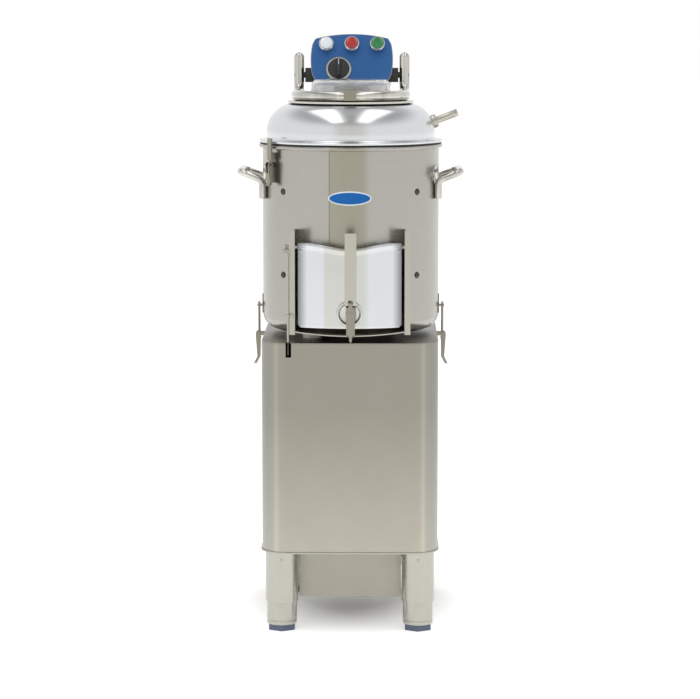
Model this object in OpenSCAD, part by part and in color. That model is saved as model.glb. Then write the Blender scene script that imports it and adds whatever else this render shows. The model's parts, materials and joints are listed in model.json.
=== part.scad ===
// Electric potato peeler on a cabinet stand, in millimetres.
// The drum stands on the Z axis, the floor is Z = 0, the front faces -Y.

/* [Stand] */
// Thickness of the hexagonal foot pads
foot_pad_h = 12.5; // [8:0.5:20]
// Radius of the foot pads across their corners
foot_pad_r = 28.5; // [20:0.5:30]
// Length of the foot sleeve above its pad
foot_sleeve_len = 88; // [60:1:110]
// Outer radius of a leg tube
leg_r = 31; // [25:0.5:34]
// Wall of a leg tube
leg_wall = 2; // [1.5:0.1:3]
// Height of the open end of the leg tubes above the floor
leg_bottom_z = 56; // [40:1:70]
// Sideways distance of the legs from the middle
leg_x = 130; // [122:1:134]
// Setback of the leg centres from the cabinet front and back
leg_setback = 35; // [33:1:60]
// Radius of the locking screw in each front leg
leg_screw_r = 3; // [2:0.5:4]
// Height of the locking screws below the stand plate
leg_screw_drop = 13; // [8:1:20]
// Thickness of the plate that joins the legs
stand_plate_t = 3; // [2:0.5:6]

/* [Cabinet] */
// Width of the cabinet
cabinet_w = 335; // [325:1:345]
// Distance of the cabinet front from the drum axis
cabinet_front = 185; // [184:1:195]
// Distance of the cabinet back from the drum axis
cabinet_rear = 220; // [218:1:240]
// Corner radius of the cabinet
cabinet_corner_r = 50; // [35:1:60]
// Sheet thickness of the cabinet
cabinet_wall = 1.5; // [1:0.1:2.5]
// Height of the underside of the cabinet above the floor
cabinet_z = 155; // [150:1:170]
// Height of the cabinet with its deck
cabinet_h = 400; // [390:1:430]
// Thickness of the deck on the cabinet
deck_t = 2; // [1.5:0.5:4]
// Width of the slot for the switch rod
slot_w = 10.5; // [8:0.5:14]
// Depth of the slot down the cabinet front
slot_drop = 27; // [20:1:35]
// Depth of the slot into the deck
slot_reach = 17; // [12:1:24]
// Width of the service opening in the back
service_w = 200; // [160:5:208]
// Height of the service opening in the back
service_h = 240; // [180:5:280]
// Overlap of the service panel on its opening
service_lap = 12; // [8:1:16]
// Thickness of the service panel
service_t = 2; // [1.5:0.5:3]
// Radius of the service screw heads
service_screw_r = 4.5; // [3:0.5:5.5]
// Height of the service screw heads
service_screw_h = 2; // [1:0.5:3]

/* [Filter tray] */
// Width of the tray front
tray_w = 196; // [180:1:197]
// Depth of the tray from front to back
tray_depth = 250; // [200:5:255]
// Height of the tray floor above the floor
tray_z = 54; // [40:1:70]
// Height of the tray front
tray_front_h = 87; // [70:1:90]
// Sheet thickness of the tray
tray_wall = 1.5; // [1:0.1:2]
// Distance of the tray front from the drum axis
tray_front = 110; // [105:1:112]
// Height of the basket that stands in the tray
basket_h = 45; // [30:1:55]
// Radius of the holes in the basket floor
basket_hole_r = 4; // [2:0.5:5]

/* [Drum] */
// Outer radius of the drum
drum_r = 170; // [166:1:172]
// Sheet thickness of the drum
drum_wall = 2; // [1.5:0.1:3]
// Height of the drum above its deck
drum_gap = 11; // [9:1:14]
// Height of the drum from its bottom to its rim
drum_h = 356; // [350:1:370]
// Radius between the drum floor and the drum wall
knuckle_r = 27; // [20:1:32]
// Radial width of the rolled rim
rim_w = 7; // [5:0.5:8]
// Height of the rolled rim
rim_h = 8; // [6:0.5:10]
// Thickness of the abrasive side panels
liner_t = 4; // [2:0.5:6]
// Height of the abrasive side panels
liner_h = 220; // [200:5:240]
// Radius of the bolt heads that hold the side panels
liner_bolt_head_r = 5; // [4:0.5:6]
// Radius of the bolt shanks
liner_bolt_r = 3; // [2:0.5:3.5]
// Width of the oval badge plate
badge_w = 82; // [60:1:90]
// Height of the oval badge plate
badge_h = 27; // [20:1:34]
// Thickness of the badge plate
badge_t = 1.2; // [0.8:0.1:2]
// Height of the badge centre below the drum rim
badge_drop = 96; // [80:1:110]

/* [Peeling plate] */
// Radius of the turning abrasive plate
plate_r = 156; // [140:1:158]
// Thickness of the turning plate
plate_t = 8; // [6:1:10]
// Height of the plate above the drum floor
plate_lift = 10; // [8:1:14]
// Thickness of the grit layer on the plate
grit_t = 3; // [2:0.5:4]
// Height of the three ridges on the grit layer
ridge_h = 9; // [6:1:12]
// Radius of the drive shaft
shaft_r = 12.5; // [10:0.5:15]
// Outer radius of the shaft bearings
bearing_r = 26; // [24:0.5:28]
// Height of one bearing
bearing_h = 15; // [12:1:16]
// Radius of the bearing housing tube
housing_r = 32; // [31:0.5:36]
// Radius of the bearing housing flange
housing_flange_r = 84; // [60:1:88]
// Length of the bearing housing below the deck
housing_drop = 72; // [60:1:76]

/* [Drive] */
// Radius of the large pulley on the drive shaft
big_pulley_r = 80; // [70:1:82]
// Radius of the small pulley on the motor
small_pulley_r = 20; // [15:1:24]
// Height of the pulleys
pulley_h = 22; // [16:1:24]
// Height of the pulley tops below the deck
pulley_drop = 88; // [86:1:96]
// Thickness of the drive belt
belt_t = 6; // [4:0.5:7]
// Height of the drive belt
belt_h = 13; // [8:1:15]
// Distance of the motor axis behind the drum axis
motor_y = 145; // [140:1:148]
// Radius of the motor
motor_r = 65; // [50:1:66]
// Height of the motor
motor_h = 190; // [150:1:200]
// Radius of the motor shaft
motor_shaft_r = 7; // [6:0.5:9]
// Thickness of the plate that carries the motor
motor_plate_t = 6; // [4:1:8]
// Radius of the drain pipe
drain_r = 20; // [15:0.5:21]
// Wall of the drain pipe
drain_wall = 1.5; // [1:0.1:2.5]
// Distance of the drain pipe from the drum axis
drain_offset = 112; // [111:0.5:114]

/* [Discharge chute] */
// Half width of the chute over its side walls
chute_half_w = 105; // [98:0.5:106]
// Sheet thickness of the chute
chute_wall = 2; // [1.5:0.1:2.5]
// Height of the chute side walls
chute_h = 196; // [190:1:200]
// Height of the chute sides above the drum bottom
chute_lift = 4; // [3:0.5:6]
// Distance of the chute flanges from the drum axis
chute_front = 176; // [175:0.5:178]
// Width of the chute flanges
flange_w = 9; // [8:0.5:11]
// Sag of the bottom lip in its middle
lip_sag = 5; // [3:0.5:6]
// Distance of the lip from the drum axis
lip_r = 206; // [205:0.5:207]

/* [Door] */
// Radius of the outer face of the door
door_r = 203; // [201:0.5:203]
// Thickness of the door plate
door_t = 4; // [3:0.5:5]
// Side gap between the door and the chute walls
door_side_gap = 5; // [1:0.5:6]
// Height of the door plate at its corners
door_h = 160; // [157:0.5:161]
// Dip of the top edge of the door in its middle
door_dip = 9; // [5:0.5:10]
// Height of the door bottom above the drum bottom
door_lift = 18; // [16:0.5:20]
// Height of the hinge axis above the door bottom
door_hinge_rise = 151; // [149:0.5:153]
// Radius of the hinge lugs at the top corners
lug_r = 8; // [7:0.5:9]
// Length of the hinge lugs
lug_len = 34; // [20:1:40]
// Radius of the hinge pins
door_pin_r = 3.5; // [2.5:0.5:4]
// Radius of the round boss on the door
boss_r = 25; // [20:0.5:28]
// Height of the boss above the door face
boss_h = 6; // [4:0.5:6.5]
// Width of the upright lever on the door
lever_w = 22; // [16:1:26]
// Thickness of the lever bar
lever_t = 8; // [6:0.5:9]
// Length of the lever bar
lever_len = 132; // [110:1:134]
// Distance of the lever front from the drum axis
lever_front = 224; // [223:0.5:226]

/* [Switch rod] */
// Radius of the switch rod
rod_r = 2; // [1.5:0.25:2.5]
// Sideways distance of the switch rod from the middle
rod_x = 116; // [115:0.5:116.5]
// Distance of the switch rod from the drum axis
rod_front = 180; // [179.5:0.25:180.5]
// Gap between the rod head and the crank pin
rod_gap = 3; // [2.5:0.5:5]
// Depth of the rod end below the deck
rod_drop = 24; // [15:1:25]
// Height of the rod guide above the drum bottom
guide_lift = 37; // [25:1:60]

/* [Cover] */
// Gap between the drum rim and the cover gasket
gasket_gap = 0.3; // [0.3:0.1:0.8]
// Thickness of the cover gasket
gasket_t = 2; // [1:0.5:3]
// Thickness of the cover flange
cover_flange_t = 6; // [4:0.5:8]
// Wall of the cast cover
cover_wall = 4; // [3:0.5:6]
// Outer radius of the cover bowl at its flange
cover_r = 163; // [155:1:165]
// Height of the cover top above the drum rim
cover_h = 78; // [70:1:84]
// Shoulder radius of the cover
cover_shoulder_r = 58; // [45:1:62]
// Outer radius of the window frame
frame_r = 122.5; // [118:0.5:124]
// Thickness of the window frame
frame_t = 4; // [3:0.5:5]
// Outer radius of the clear window
window_r = 76; // [65:1:80]
// Height of the clear window
window_h = 40; // [34:1:42]
// Wall of the clear window
window_wall = 4; // [3:0.5:6]
// Shoulder radius of the clear window
window_shoulder_r = 12; // [8:1:16]
// Radius of the bail tube
bail_tube_r = 10; // [8:0.5:11]
// Radius of the bail arc on its centre line
bail_r = 105; // [103:0.5:107]
// Bend radius at the back of the bail
bail_bend_r = 20; // [14:1:24]
// Height of the bail ends above the hinge axis
bail_rise = 35; // [25:1:42]
// Distance of the hinge axis behind the drum axis
hinge_y = 186; // [184:0.5:190]
// Height of the hinge axis above the drum rim
hinge_rise = 126; // [120:1:130]
// Radius of the hinge pins of the cover
hinge_pin_r = 6; // [4:0.5:7]
// Height and depth of the black hinge blocks
hinge_block = 28; // [22:1:30]
// Radius of the water inlet tube
inlet_r = 7.75; // [6:0.25:9]
// Wall of the water inlet tube
inlet_wall = 1.5; // [1:0.1:2]
// Radius of the inlet collar
inlet_collar_r = 13; // [11:0.5:14]
// Length of the inlet tube beyond its collar
inlet_len = 42; // [30:1:43]
// Upward slope of the inlet tube in degrees
inlet_slope = 21; // [10:1:30]
// Thickness of the clasp tab in front of the bail
clasp_t = 1.5; // [1:0.25:2.5]
// Depth of the clasp tab below the middle of the bail
clasp_drop = 8; // [4:0.5:9]

/* [Controls] */
// Half width of the control housing
box_half_w = 82; // [80:0.5:82.5]
// Half height of the control housing along its face
box_half_h = 54; // [52:0.5:58]
// Rise of the arched top and bottom edges of the control housing
box_arch = 12; // [8:0.5:14]
// Swell of the sides of the control housing
box_swell = 9; // [5:0.5:10]
// Depth that the corners of the control housing are trimmed
box_trim = 3; // [1:0.5:5]
// Height of the middle of the control panel above the drum rim
box_rise = 156; // [154:1:160]
// Distance of the middle of the control panel behind the drum axis
box_y = 184; // [182:0.5:186]
// Backward tilt of the control panel in degrees
box_tilt = 22; // [18:1:24]
// Wall of the control housing
box_wall = 2; // [1.5:0.5:3]
// Thickness of the control panel
panel_t = 2; // [1.5:0.5:3]
// Border of the housing around the panel
panel_border = 1.2; // [0.5:0.1:3]
// Half width of the column behind the drum
column_half_w = 40; // [30:1:50]
// Wall of the column
column_wall = 2; // [1.5:0.5:3]
// Distance between the button centres
button_pitch = 51; // [45:1:54]
// Height of the buttons above the panel middle
button_rise = 29; // [26:0.5:30]
// Outer radius of the button rings
ring_r = 14.5; // [13.5:0.5:16]
// Height of the button rings
ring_h = 16; // [12:0.5:18]
// Radius of the button caps
cap_r = 12; // [10:0.5:12.5]
// Radius of the button stems
stem_r = 7; // [5:0.5:8]
// Travel of a button
button_travel = 4; // [3:0.5:4]
// Sideways place of the timer knob
knob_x = -26; // [-30:1:-20]
// Distance of the timer knob below the panel middle
knob_drop = 20.5; // [20:0.5:24]
// Radius of the timer knob
knob_r = 20.5; // [18:0.5:21]
// Height of the timer knob with its grip
knob_h = 16; // [12:0.5:20]
// Outer radius of the timer bezel
bezel_r = 26; // [23:0.5:27]

/* [Latches] */
// Turn of the cover latch from the front towards the left in degrees
cover_latch_turn = 57; // [55:1:59]
// Distance of the side toggle pivots from the drum
toggle_offset = 10; // [9:0.5:11]
// Length of the side toggle levers from the pivot to the bend
toggle_len = 45; // [38:1:48]
// Length of the cover toggle lever from the pivot to the bend
cover_toggle_len = 34; // [28:1:36]
// Half width of a toggle lever
toggle_half_w = 6; // [6:0.25:8]
// Radius of the toggle pins
toggle_pin_r = 2; // [1.5:0.25:2.25]
// Radius of the draw rods
draw_rod_r = 2.3; // [1.8:0.1:2.4]
// Depth of the side toggle pivots below the cabinet top
side_toggle_drop = 3; // [2:0.5:8]
// Height of the T bars above the side toggle pivots
side_draw_rise = 60; // [56:1:70]
// Half length of the T bars
t_bar_half = 12; // [10:0.5:14]
// Depth of the cover toggle pivot below the drum rim
cover_toggle_drop = 37; // [34:1:42]
// Height of the hook end above the drum rim
hook_rise = 13; // [10:1:14]
// Half width of the cover hook
hook_half_w = 7; // [5:0.5:8]

/* [Carry handles] */
// Radius of the handle rod
handle_r = 7; // [6:0.5:8]
// Half of the distance between the two stems
handle_half_span = 56; // [50:1:74]
// Distance of the grip bar from the drum axis
handle_reach = 210.4; // [205:0.1:215]
// Height of the stem ends below the drum rim
handle_drop = 104; // [95:1:110]
// Length of the upright part of a stem
handle_stem = 35; // [20:1:40]
// Outward slope of the handle from upright in degrees
handle_slope = 69; // [45:1:75]
// Thickness of the round tabs above the handles
tab_t = 2.5; // [1.5:0.5:4]

/* [Fits] */
// Radial clearance of turning and sliding fits
fit = 0.05; // [0.03:0.01:0.09]
// Gap between parts that pass each other
gap = 0.4; // [0.3:0.05:0.6]
// Clearance of parts that are set into each other
seat = 0.02; // [0.01:0.01:0.05]

/* [Hidden] */
$fn = 96;

// Stand and cabinet
stand_plate_z = cabinet_z - stand_plate_t;
leg_front_y = leg_setback - cabinet_front;
leg_rear_y = cabinet_rear - leg_setback;
sleeve_r = leg_r - leg_wall - gap;
deck_top = cabinet_z + cabinet_h;
deck_z = deck_top - deck_t;
screw_shank_r = 2;
stand_overhang = 2.5;
service_z = cabinet_z + 45;
service_back = cabinet_rear + service_t;
service_screw_x = (service_w + service_lap) / 2;
slot_floor = deck_top - slot_drop;
rail_t = 1.5;
rail_gap = 1;
tray_half = tray_w / 2;
tray_body_half = tray_half - 4;
tray_top = tray_z + tray_front_h;
tray_flange_z = tray_top - 8;
tray_back = tray_depth - tray_front;
clip_h = 7;
clip_xs = [-69, 66];
basket_pitch = 22;
basket_edge = 20;
tray_lip = 7;
gland_y = leg_rear_y;
gland_x = 50;
gland_r = 10;

// Drum and peeling plate
drum_z = deck_top + drum_gap;
rim_z = drum_z + drum_h;
rim_r = drum_r + rim_w;
drum_in_r = drum_r - drum_wall;
floor_top = drum_z + drum_wall;
plate_z = floor_top + plate_lift;
plate_top = plate_z + plate_t;
liner_r = drum_in_r - seat;
liner_rise = 12;
liner_z = drum_z + (drum_h - liner_h) / 2 + liner_rise;
liner_turn = 35;
bolt_turn = 48.3;
bolt_rise = 79;
liner_mid = liner_z + liner_h / 2;
badge_z = rim_z - badge_drop;
drain_turn = -40;
shaft_play = 1;
stud_r = shaft_r / 2;
stud_len = 14;
nut_r = 11;
nut_h = 10;
grit_in_r = nut_r + 3;
ridge_r = 14;

// Drive
pulley_top = deck_top - pulley_drop;
pulley_z = pulley_top - pulley_h;
shaft_z = pulley_z - 5;
motor_plate_top = pulley_z - 8;
motor_plate_z = motor_plate_top - motor_plate_t;
motor_z = motor_plate_z - motor_h;
motor_shaft_len = 60;
hanger_x = motor_r + 5;
hanger_t = 5;
belt_z = pulley_z + (pulley_h - belt_h) / 2;
belt_turn = asin((big_pulley_r - small_pulley_r) / motor_y);
groove = 2;

// Chute, door and switch rod
chute_z = drum_z + chute_lift;
chute_in = chute_half_w - chute_wall;
lip_bend = (chute_half_w * chute_half_w + lip_sag * lip_sag) / (2 * lip_sag);
opening_half = chute_in - 7;
door_z = drum_z + door_lift;
door_half = chute_in - door_side_gap;
door_hinge_z = door_z + door_hinge_rise;
door_hinge_y = chute_wall + door_pin_r + 1 - chute_front;
door_rim_r = drum_r + 1;
door_rim_half = opening_half - 2;
door_rim_t = 4;
door_rim_z = door_z + 6;
door_rim_top = door_hinge_z - door_pin_r - 1.5;
opening_z = door_z + 2;
opening_top = door_rim_top;
dip_half = door_half - 20;
dip_r = (dip_half * dip_half + door_dip * door_dip) / (2 * door_dip);
boss_z = door_z + 29;
lever_x = 2;
lever_axis_z = door_z + 49;
lever_axis_y = lever_t / 2 + 1 - lever_front;
tongue_half = 4;
link_half = 8;
link_z = door_z - 10;
link_top = lever_axis_z - 7;
lever_knuckle_r = 4.5;
lever_pin_r = 2;
link_nut_r = 7;
link_nut_h = 8;
crank_drop = 6;
crank_x = rod_x + 2.5;
crank_t = 3;
crank_pin_r = 2.5;
rod_head_r = 3;
rod_head_h = 5;
rod_top = door_hinge_z - crank_drop - crank_pin_r - rod_gap;
rod_bottom = deck_top - rod_drop;
guide_z = drum_z + guide_lift;
guide_h = 6;
switch_half = 9;
switch_side = 4;
switch_h = 26;
switch_top = slot_floor - 2;
switch_depth = 17;

// Cover
gasket_z = rim_z + gasket_gap;
cover_z = gasket_z + gasket_t;
cover_top = rim_z + cover_h;
shoulder_x = cover_r - cover_shoulder_r;
shoulder_z = cover_top - cover_shoulder_r;
window_in_r = window_r - window_wall;
frame_top = cover_top + frame_t;
window_top = frame_top + window_h;
bail_z = frame_top + bail_tube_r + seat;
hinge_z = rim_z + hinge_rise;
clip_half = 12;
clip_t = 5;
clasp_y = -bail_r - bail_tube_r - clasp_t;
clasp_top = bail_z + bail_tube_r + 3;

// Controls
panel_z = rim_z + box_rise;
arch_r = (box_half_w * box_half_w + box_arch * box_arch) / (2 * box_arch);
swell_r = (box_half_h * box_half_h + box_swell * box_swell) / (2 * box_swell);
corner_x = box_half_w - box_swell * pow(1 - box_arch / box_half_h, 2);
corner_z = box_half_h - box_arch * pow(corner_x / box_half_w, 2);
corner_reach = norm([corner_x, corner_z]) - box_trim;
box_back = cabinet_rear + 2;
box_depth = 90;
barrel_r = stem_r + 3;
barrel_len = 10;
ring_well = 8.5;
ring_floor = ring_h - ring_well;
cap_t = 5.5;
cap_back = panel_t + ring_floor + button_travel + 0.5;
knob_skirt_h = 6;
knob_shaft_r = 3;
grip_t = 8;
hinge_block_x = bail_r - bail_tube_r - 2.5;

// Latches
side_p = max(cabinet_w / 2, drum_r) + toggle_offset;
side_pz = deck_top - side_toggle_drop;
side_t_z = side_pz + side_draw_rise;
hook_t = 3;
hook_clear = 3;
pin_in = 2;
pin_down = 8;
cover_p = rim_r + hook_clear + hook_t / 2 + pin_in;
cover_pz = rim_z - cover_toggle_drop;
arm_in = draw_rod_r + 0.5;
arm_t = 1.4;
cheek_t = 1.4;
lever_plate_t = 2;
eye_r = 4;
lever_slot_half = draw_rod_r + 0.7;
slot_len = 16;
grip_drop = 3;
cheek_edge = 0.6;
cheek_low = 6;
lever_taper = 3;
side_tip_len = 14;
cover_tip_len = 6;
side_plate_half = 10;
side_plate_down = 21;
cover_plate_down = 34;
cover_plate_up = 23;
keeper_down = 19;
keeper_up = 18;

// Carry handles
handle_knuckle_r = handle_r + 0.1;
handle_x = sqrt(pow(drum_r + handle_knuckle_r + seat, 2) - pow(handle_half_span, 2));
handle_turn = atan2(handle_x, handle_half_span);
handle_z = rim_z - handle_drop;
handle_bend_z = handle_z + handle_stem;
handle_grip_z = handle_bend_z + (handle_reach - handle_x) / tan(handle_slope);
tab_r = 12;
tab_z = handle_bend_z + 17;

// Turns a piece made at the front towards the right by an angle
module turned(angle) { rotate([0, 0, angle]) children(); }

// A bar of radius r from point a to point b
module bar(a, b, r) {
    d = b - a;
    translate(a) rotate([0, acos(d.z / norm(d)), atan2(d.y, d.x)]) cylinder(h = norm(d), r = r);
}

// A pipe section between two radii
module tube(h, outer, inner) {
    difference() {
        cylinder(h = h, r = outer);
        translate([0, 0, -1]) cylinder(h = h + 2, r = inner);
    }
}

// A cylinder along X, centred on x
module along_x(x, y, z, len, r) {
    translate([x - len / 2, y, z]) rotate([0, 90, 0]) cylinder(h = len, r = r);
}

// A cylinder that points to the front, from y to y - len
module to_front(x, y, z, len, r) {
    translate([x, y, z]) rotate([90, 0, 0]) cylinder(h = len, r = r);
}

// A block from corner a to corner b
module block(a, b) { translate(a) cube(b - a); }

// The plan outline of the cabinet, moved inwards by inset
module cabinet_outline(inset) {
    w = cabinet_w / 2 - inset;
    f = cabinet_front - inset;
    b = cabinet_rear - inset;
    r = cabinet_corner_r - inset;
    translate([-w, r - f]) square([2 * w, f + b - 2 * r]);
    translate([r - w, -f]) square([2 * (w - r), f + b]);
    for (x = [r - w, w - r], y = [r - f, b - r]) translate([x, y]) circle(r);
}

// The drum as a filled round, grown by grow
module drum_round(grow) {
    r = drum_r + grow;
    k = knuckle_r + grow;
    rotate_extrude() {
        translate([0, drum_z + knuckle_r]) square([r, drum_h - knuckle_r]);
        translate([0, drum_z - grow]) square([r - k, knuckle_r + grow]);
        intersection() {
            translate([r - k, drum_z + knuckle_r]) circle(k);
            translate([0, drum_z - grow]) square([r, drum_h]);
        }
    }
}

// A thin skin on the drum wall
module drum_skin(t) { translate([0, 0, drum_z]) tube(drum_h, drum_r + seat + t, drum_r + seat); }

module drain_place() { turned(drain_turn) translate([0, -drain_offset, 0]) children(); }

// ---- Stand ----

module foot(x, y) {
    translate([x, y, 0]) {
        color("slategray") cylinder(h = foot_pad_h, r = foot_pad_r, $fn = 6);
        color("silver") translate([0, 0, foot_pad_h]) cylinder(h = foot_sleeve_len, r = sleeve_r);
    }
}

module foot_front_left() { foot(-leg_x, leg_front_y); }
module foot_front_right() { foot(leg_x, leg_front_y); }
module foot_rear_left() { foot(-leg_x, leg_rear_y); }
module foot_rear_right() { foot(leg_x, leg_rear_y); }

module legs() {
    color("silver") difference() {
        for (x = [-leg_x, leg_x], y = [leg_front_y, leg_rear_y])
            translate([x, y, leg_bottom_z]) tube(stand_plate_z - leg_bottom_z, leg_r, leg_r - leg_wall);
        for (x = [-leg_x, leg_x])
            to_front(x, leg_front_y, stand_plate_z - leg_screw_drop, leg_r + 1, screw_shank_r + seat);
    }
}

module stand_screws() {
    color("dimgray") {
        for (x = [-leg_x, leg_x]) {
            to_front(x, leg_front_y - leg_r, stand_plate_z - leg_screw_drop, 1, leg_screw_r);
            to_front(
                x,
                leg_front_y - leg_r + leg_wall,
                stand_plate_z - leg_screw_drop,
                leg_wall,
                screw_shank_r
            );
        }
        for (x = [-service_screw_x, service_screw_x], z = service_screw_zs()) {
            to_front(x, service_back + service_screw_h, z, service_screw_h, service_screw_r);
            to_front(x, service_back, z, service_t + cabinet_wall, screw_shank_r);
        }
    }
}

function service_screw_zs() = [service_z - service_lap / 2, service_z + service_h + service_lap / 2];

module stand_plate() {
    color("gray") {
        difference() {
            translate([0, 0, stand_plate_z]) linear_extrude(stand_plate_t) cabinet_outline(-stand_overhang);
            drain_place() translate([0, 0, stand_plate_z - 1])
                cylinder(h = stand_plate_t + 2, r = drain_r + seat);
            translate([gland_x, gland_y, stand_plate_z - 1])
                cylinder(h = stand_plate_t + 2, r = gland_r + seat);
        }
        for (side = [-1, 1]) mirrored(side) tray_rail();
    }
}

// A bend of a rod of radius r about the Z axis
module bend(bend_r, r, angle) { rotate_extrude(angle = angle) translate([bend_r, 0]) circle(r); }

module mirrored(side) { if (side > 0) children(); else mirror([1, 0, 0]) children(); }

module tray_rail() {
    x = tray_half + rail_gap;
    ledge_top = tray_flange_z - gap;
    block([x, 3 - tray_front + gap, ledge_top - rail_t], [x + rail_t, tray_back, stand_plate_z]);
    block(
        [tray_body_half + gap, 3 - tray_front + gap, ledge_top - rail_t],
        [x + rail_t, tray_back, ledge_top]
    );
}

module filter_tray() {
    color("silver") {
        difference() {
            union() {
                block(
                    [-tray_body_half, -tray_front, tray_z],
                    [tray_body_half, tray_back, tray_flange_z + tray_wall]
                );
                block(
                    [-tray_half, -tray_front, tray_flange_z],
                    [tray_half, tray_back, tray_flange_z + tray_wall]
                );
            }
            block(
                [tray_wall - tray_body_half, tray_wall - tray_front, tray_z + tray_wall],
                [tray_body_half - tray_wall, tray_back - tray_wall, tray_top]
            );
            for (x = [-3:1:3], y = [0:1:6])
                translate([
                    x * basket_pitch,
                    basket_edge - tray_front + y * (tray_depth - 2 * basket_edge) / 6,
                    tray_z - 1
                ])
                    cylinder(h = tray_wall + 2, r = basket_hole_r);
        }
        block([-tray_half, -tray_front, tray_z], [tray_half, tray_wall - tray_front, tray_top]);
        block([-tray_half, -tray_front - tray_lip, tray_top - tray_wall], [tray_half, -tray_front, tray_top]);
        for (x = clip_xs)
            translate([x, tray_wall - tray_front, tray_top]) rotate([90, 0, 0])
                linear_extrude(tray_wall) polygon([[-6, 0], [6, 0], [0, clip_h]]);
    }
}

// ---- Cabinet ----

module slot_cut() {
    block(
        [-rod_x - slot_w / 2 + 0.75, -cabinet_front - 1, slot_floor],
        [-rod_x + slot_w / 2 + 0.75, slot_reach - cabinet_front, deck_top + 1]
    );
}

module cabinet_shell() {
    color("silver") difference() {
        translate([0, 0, cabinet_z]) linear_extrude(deck_z - cabinet_z) difference() {
            cabinet_outline(0);
            cabinet_outline(cabinet_wall);
        }
        slot_cut();
        block(
            [-service_w / 2, cabinet_rear - 9, service_z],
            [service_w / 2, cabinet_rear + 9, service_z + service_h]
        );
        for (x = [-service_screw_x, service_screw_x], z = service_screw_zs())
            to_front(x, cabinet_rear + 1, z, cabinet_wall + 2, screw_shank_r + seat);
    }
}

module cabinet_deck() {
    color("lightgray") difference() {
        translate([0, 0, deck_z]) linear_extrude(deck_t) cabinet_outline(0);
        slot_cut();
        translate([0, 0, deck_z - 1]) cylinder(h = deck_t + 2, r = housing_r + seat);
        drain_place() translate([0, 0, deck_z - 1]) cylinder(h = deck_t + 2, r = drain_r + seat);
    }
}

module service_panel() {
    w = service_w / 2 + service_lap;
    color("silver") difference() {
        block(
            [-w, cabinet_rear, service_z - service_lap],
            [w, service_back, service_z + service_h + service_lap]
        );
        for (x = [-service_screw_x, service_screw_x], z = service_screw_zs())
            to_front(x, service_back + 1, z, service_t + 2, screw_shank_r + seat);
    }
}

module cable_gland() {
    color("black") translate([gland_x, gland_y, 0]) difference() {
        union() {
            translate([0, 0, stand_plate_z - 16]) cylinder(h = 16 + stand_plate_t, r = gland_r);
            translate([0, 0, stand_plate_z - 8]) cylinder(h = 8, r = gland_r + 4, $fn = 6);
            translate([0, 0, cabinet_z]) cylinder(h = 5, r = gland_r + 4, $fn = 6);
        }
        translate([0, 0, stand_plate_z - 20]) cylinder(h = 40, r = gland_r / 2);
    }
}

module drain_pipe() {
    z = tray_top + 4;
    color("darkgray") drain_place() translate([0, 0, z]) tube(drum_z - z, drain_r, drain_r - drain_wall);
}

// ---- Drum ----

module drum_shell() {
    color("silver") difference() {
        union() {
            drum_round(0);
            rotate_extrude() rim_profile();
        }
        rotate_extrude() {
            translate([0, drum_z + knuckle_r]) square([drum_in_r, drum_h]);
            translate([0, floor_top]) square([drum_r - knuckle_r, knuckle_r]);
            translate([drum_r - knuckle_r, drum_z + knuckle_r]) circle(knuckle_r - drum_wall);
        }
        block([-opening_half, -rim_r, opening_z], [opening_half, 0, opening_top]);
        translate([0, 0, drum_z - 1]) cylinder(h = drum_wall + 2, r = shaft_r + shaft_play);
        drain_place() translate([0, 0, drum_z - 1]) cylinder(h = drum_wall + 2, r = drain_r - drain_wall);
        liner_bolt_places() to_front(0, 2 - drum_r, 0, 4, liner_bolt_r + seat);
    }
}

module rim_profile() {
    r = rim_w / 2;
    translate([drum_r - 1, rim_z - rim_h]) square([1 + rim_w - r, rim_h]);
    intersection() {
        translate([drum_r, rim_z - rim_h]) square([rim_w, rim_h]);
        translate([rim_r - rim_h / 2, rim_z - rim_h / 2]) circle(rim_h / 2);
    }
}

module liner_bolt_places() {
    for (a = [-1, 1] * bolt_turn, z = [liner_mid - bolt_rise, liner_mid + bolt_rise])
        turned(a) translate([0, 0, z]) children();
    for (a = [-1, 1] * (180 - bolt_turn), z = [liner_mid - bolt_rise, liner_mid + bolt_rise])
        turned(a) translate([0, 0, z]) children();
}

module liner_panels() {
    color("dimgray") difference() {
        for (side = [-1, 1]) mirrored(side)
            translate([0, 0, liner_z]) rotate([0, 0, liner_turn - 90])
                rotate_extrude(angle = 180 - 2 * liner_turn)
                    translate([liner_r - liner_t, 0]) square([liner_t, liner_h]);
        liner_bolt_places() to_front(0, 9 - drum_r, 0, 9, liner_bolt_r + seat);
    }
}

module liner_bolts() {
    h = liner_bolt_head_r * 0.6;
    ball = (liner_bolt_head_r * liner_bolt_head_r + h * h) / (2 * h);
    color("dimgray") liner_bolt_places() {
        to_front(0, drum_wall + liner_t - drum_r, 0, drum_wall + liner_t, liner_bolt_r);
        intersection() {
            translate([0, ball - h - drum_r, 0]) sphere(ball);
            to_front(0, -drum_r, 0, h + 1, liner_bolt_head_r);
        }
    }
}

module badge_plate() {
    color("steelblue") intersection() {
        drum_skin(badge_t);
        translate([0, -drum_r / 2, badge_z]) rotate([90, 0, 0]) linear_extrude(drum_r)
            polygon([for (t = [0:6:354]) [badge_w / 2 * cos(t), badge_h / 2 * sin(t)]]);
    }
}

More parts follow.
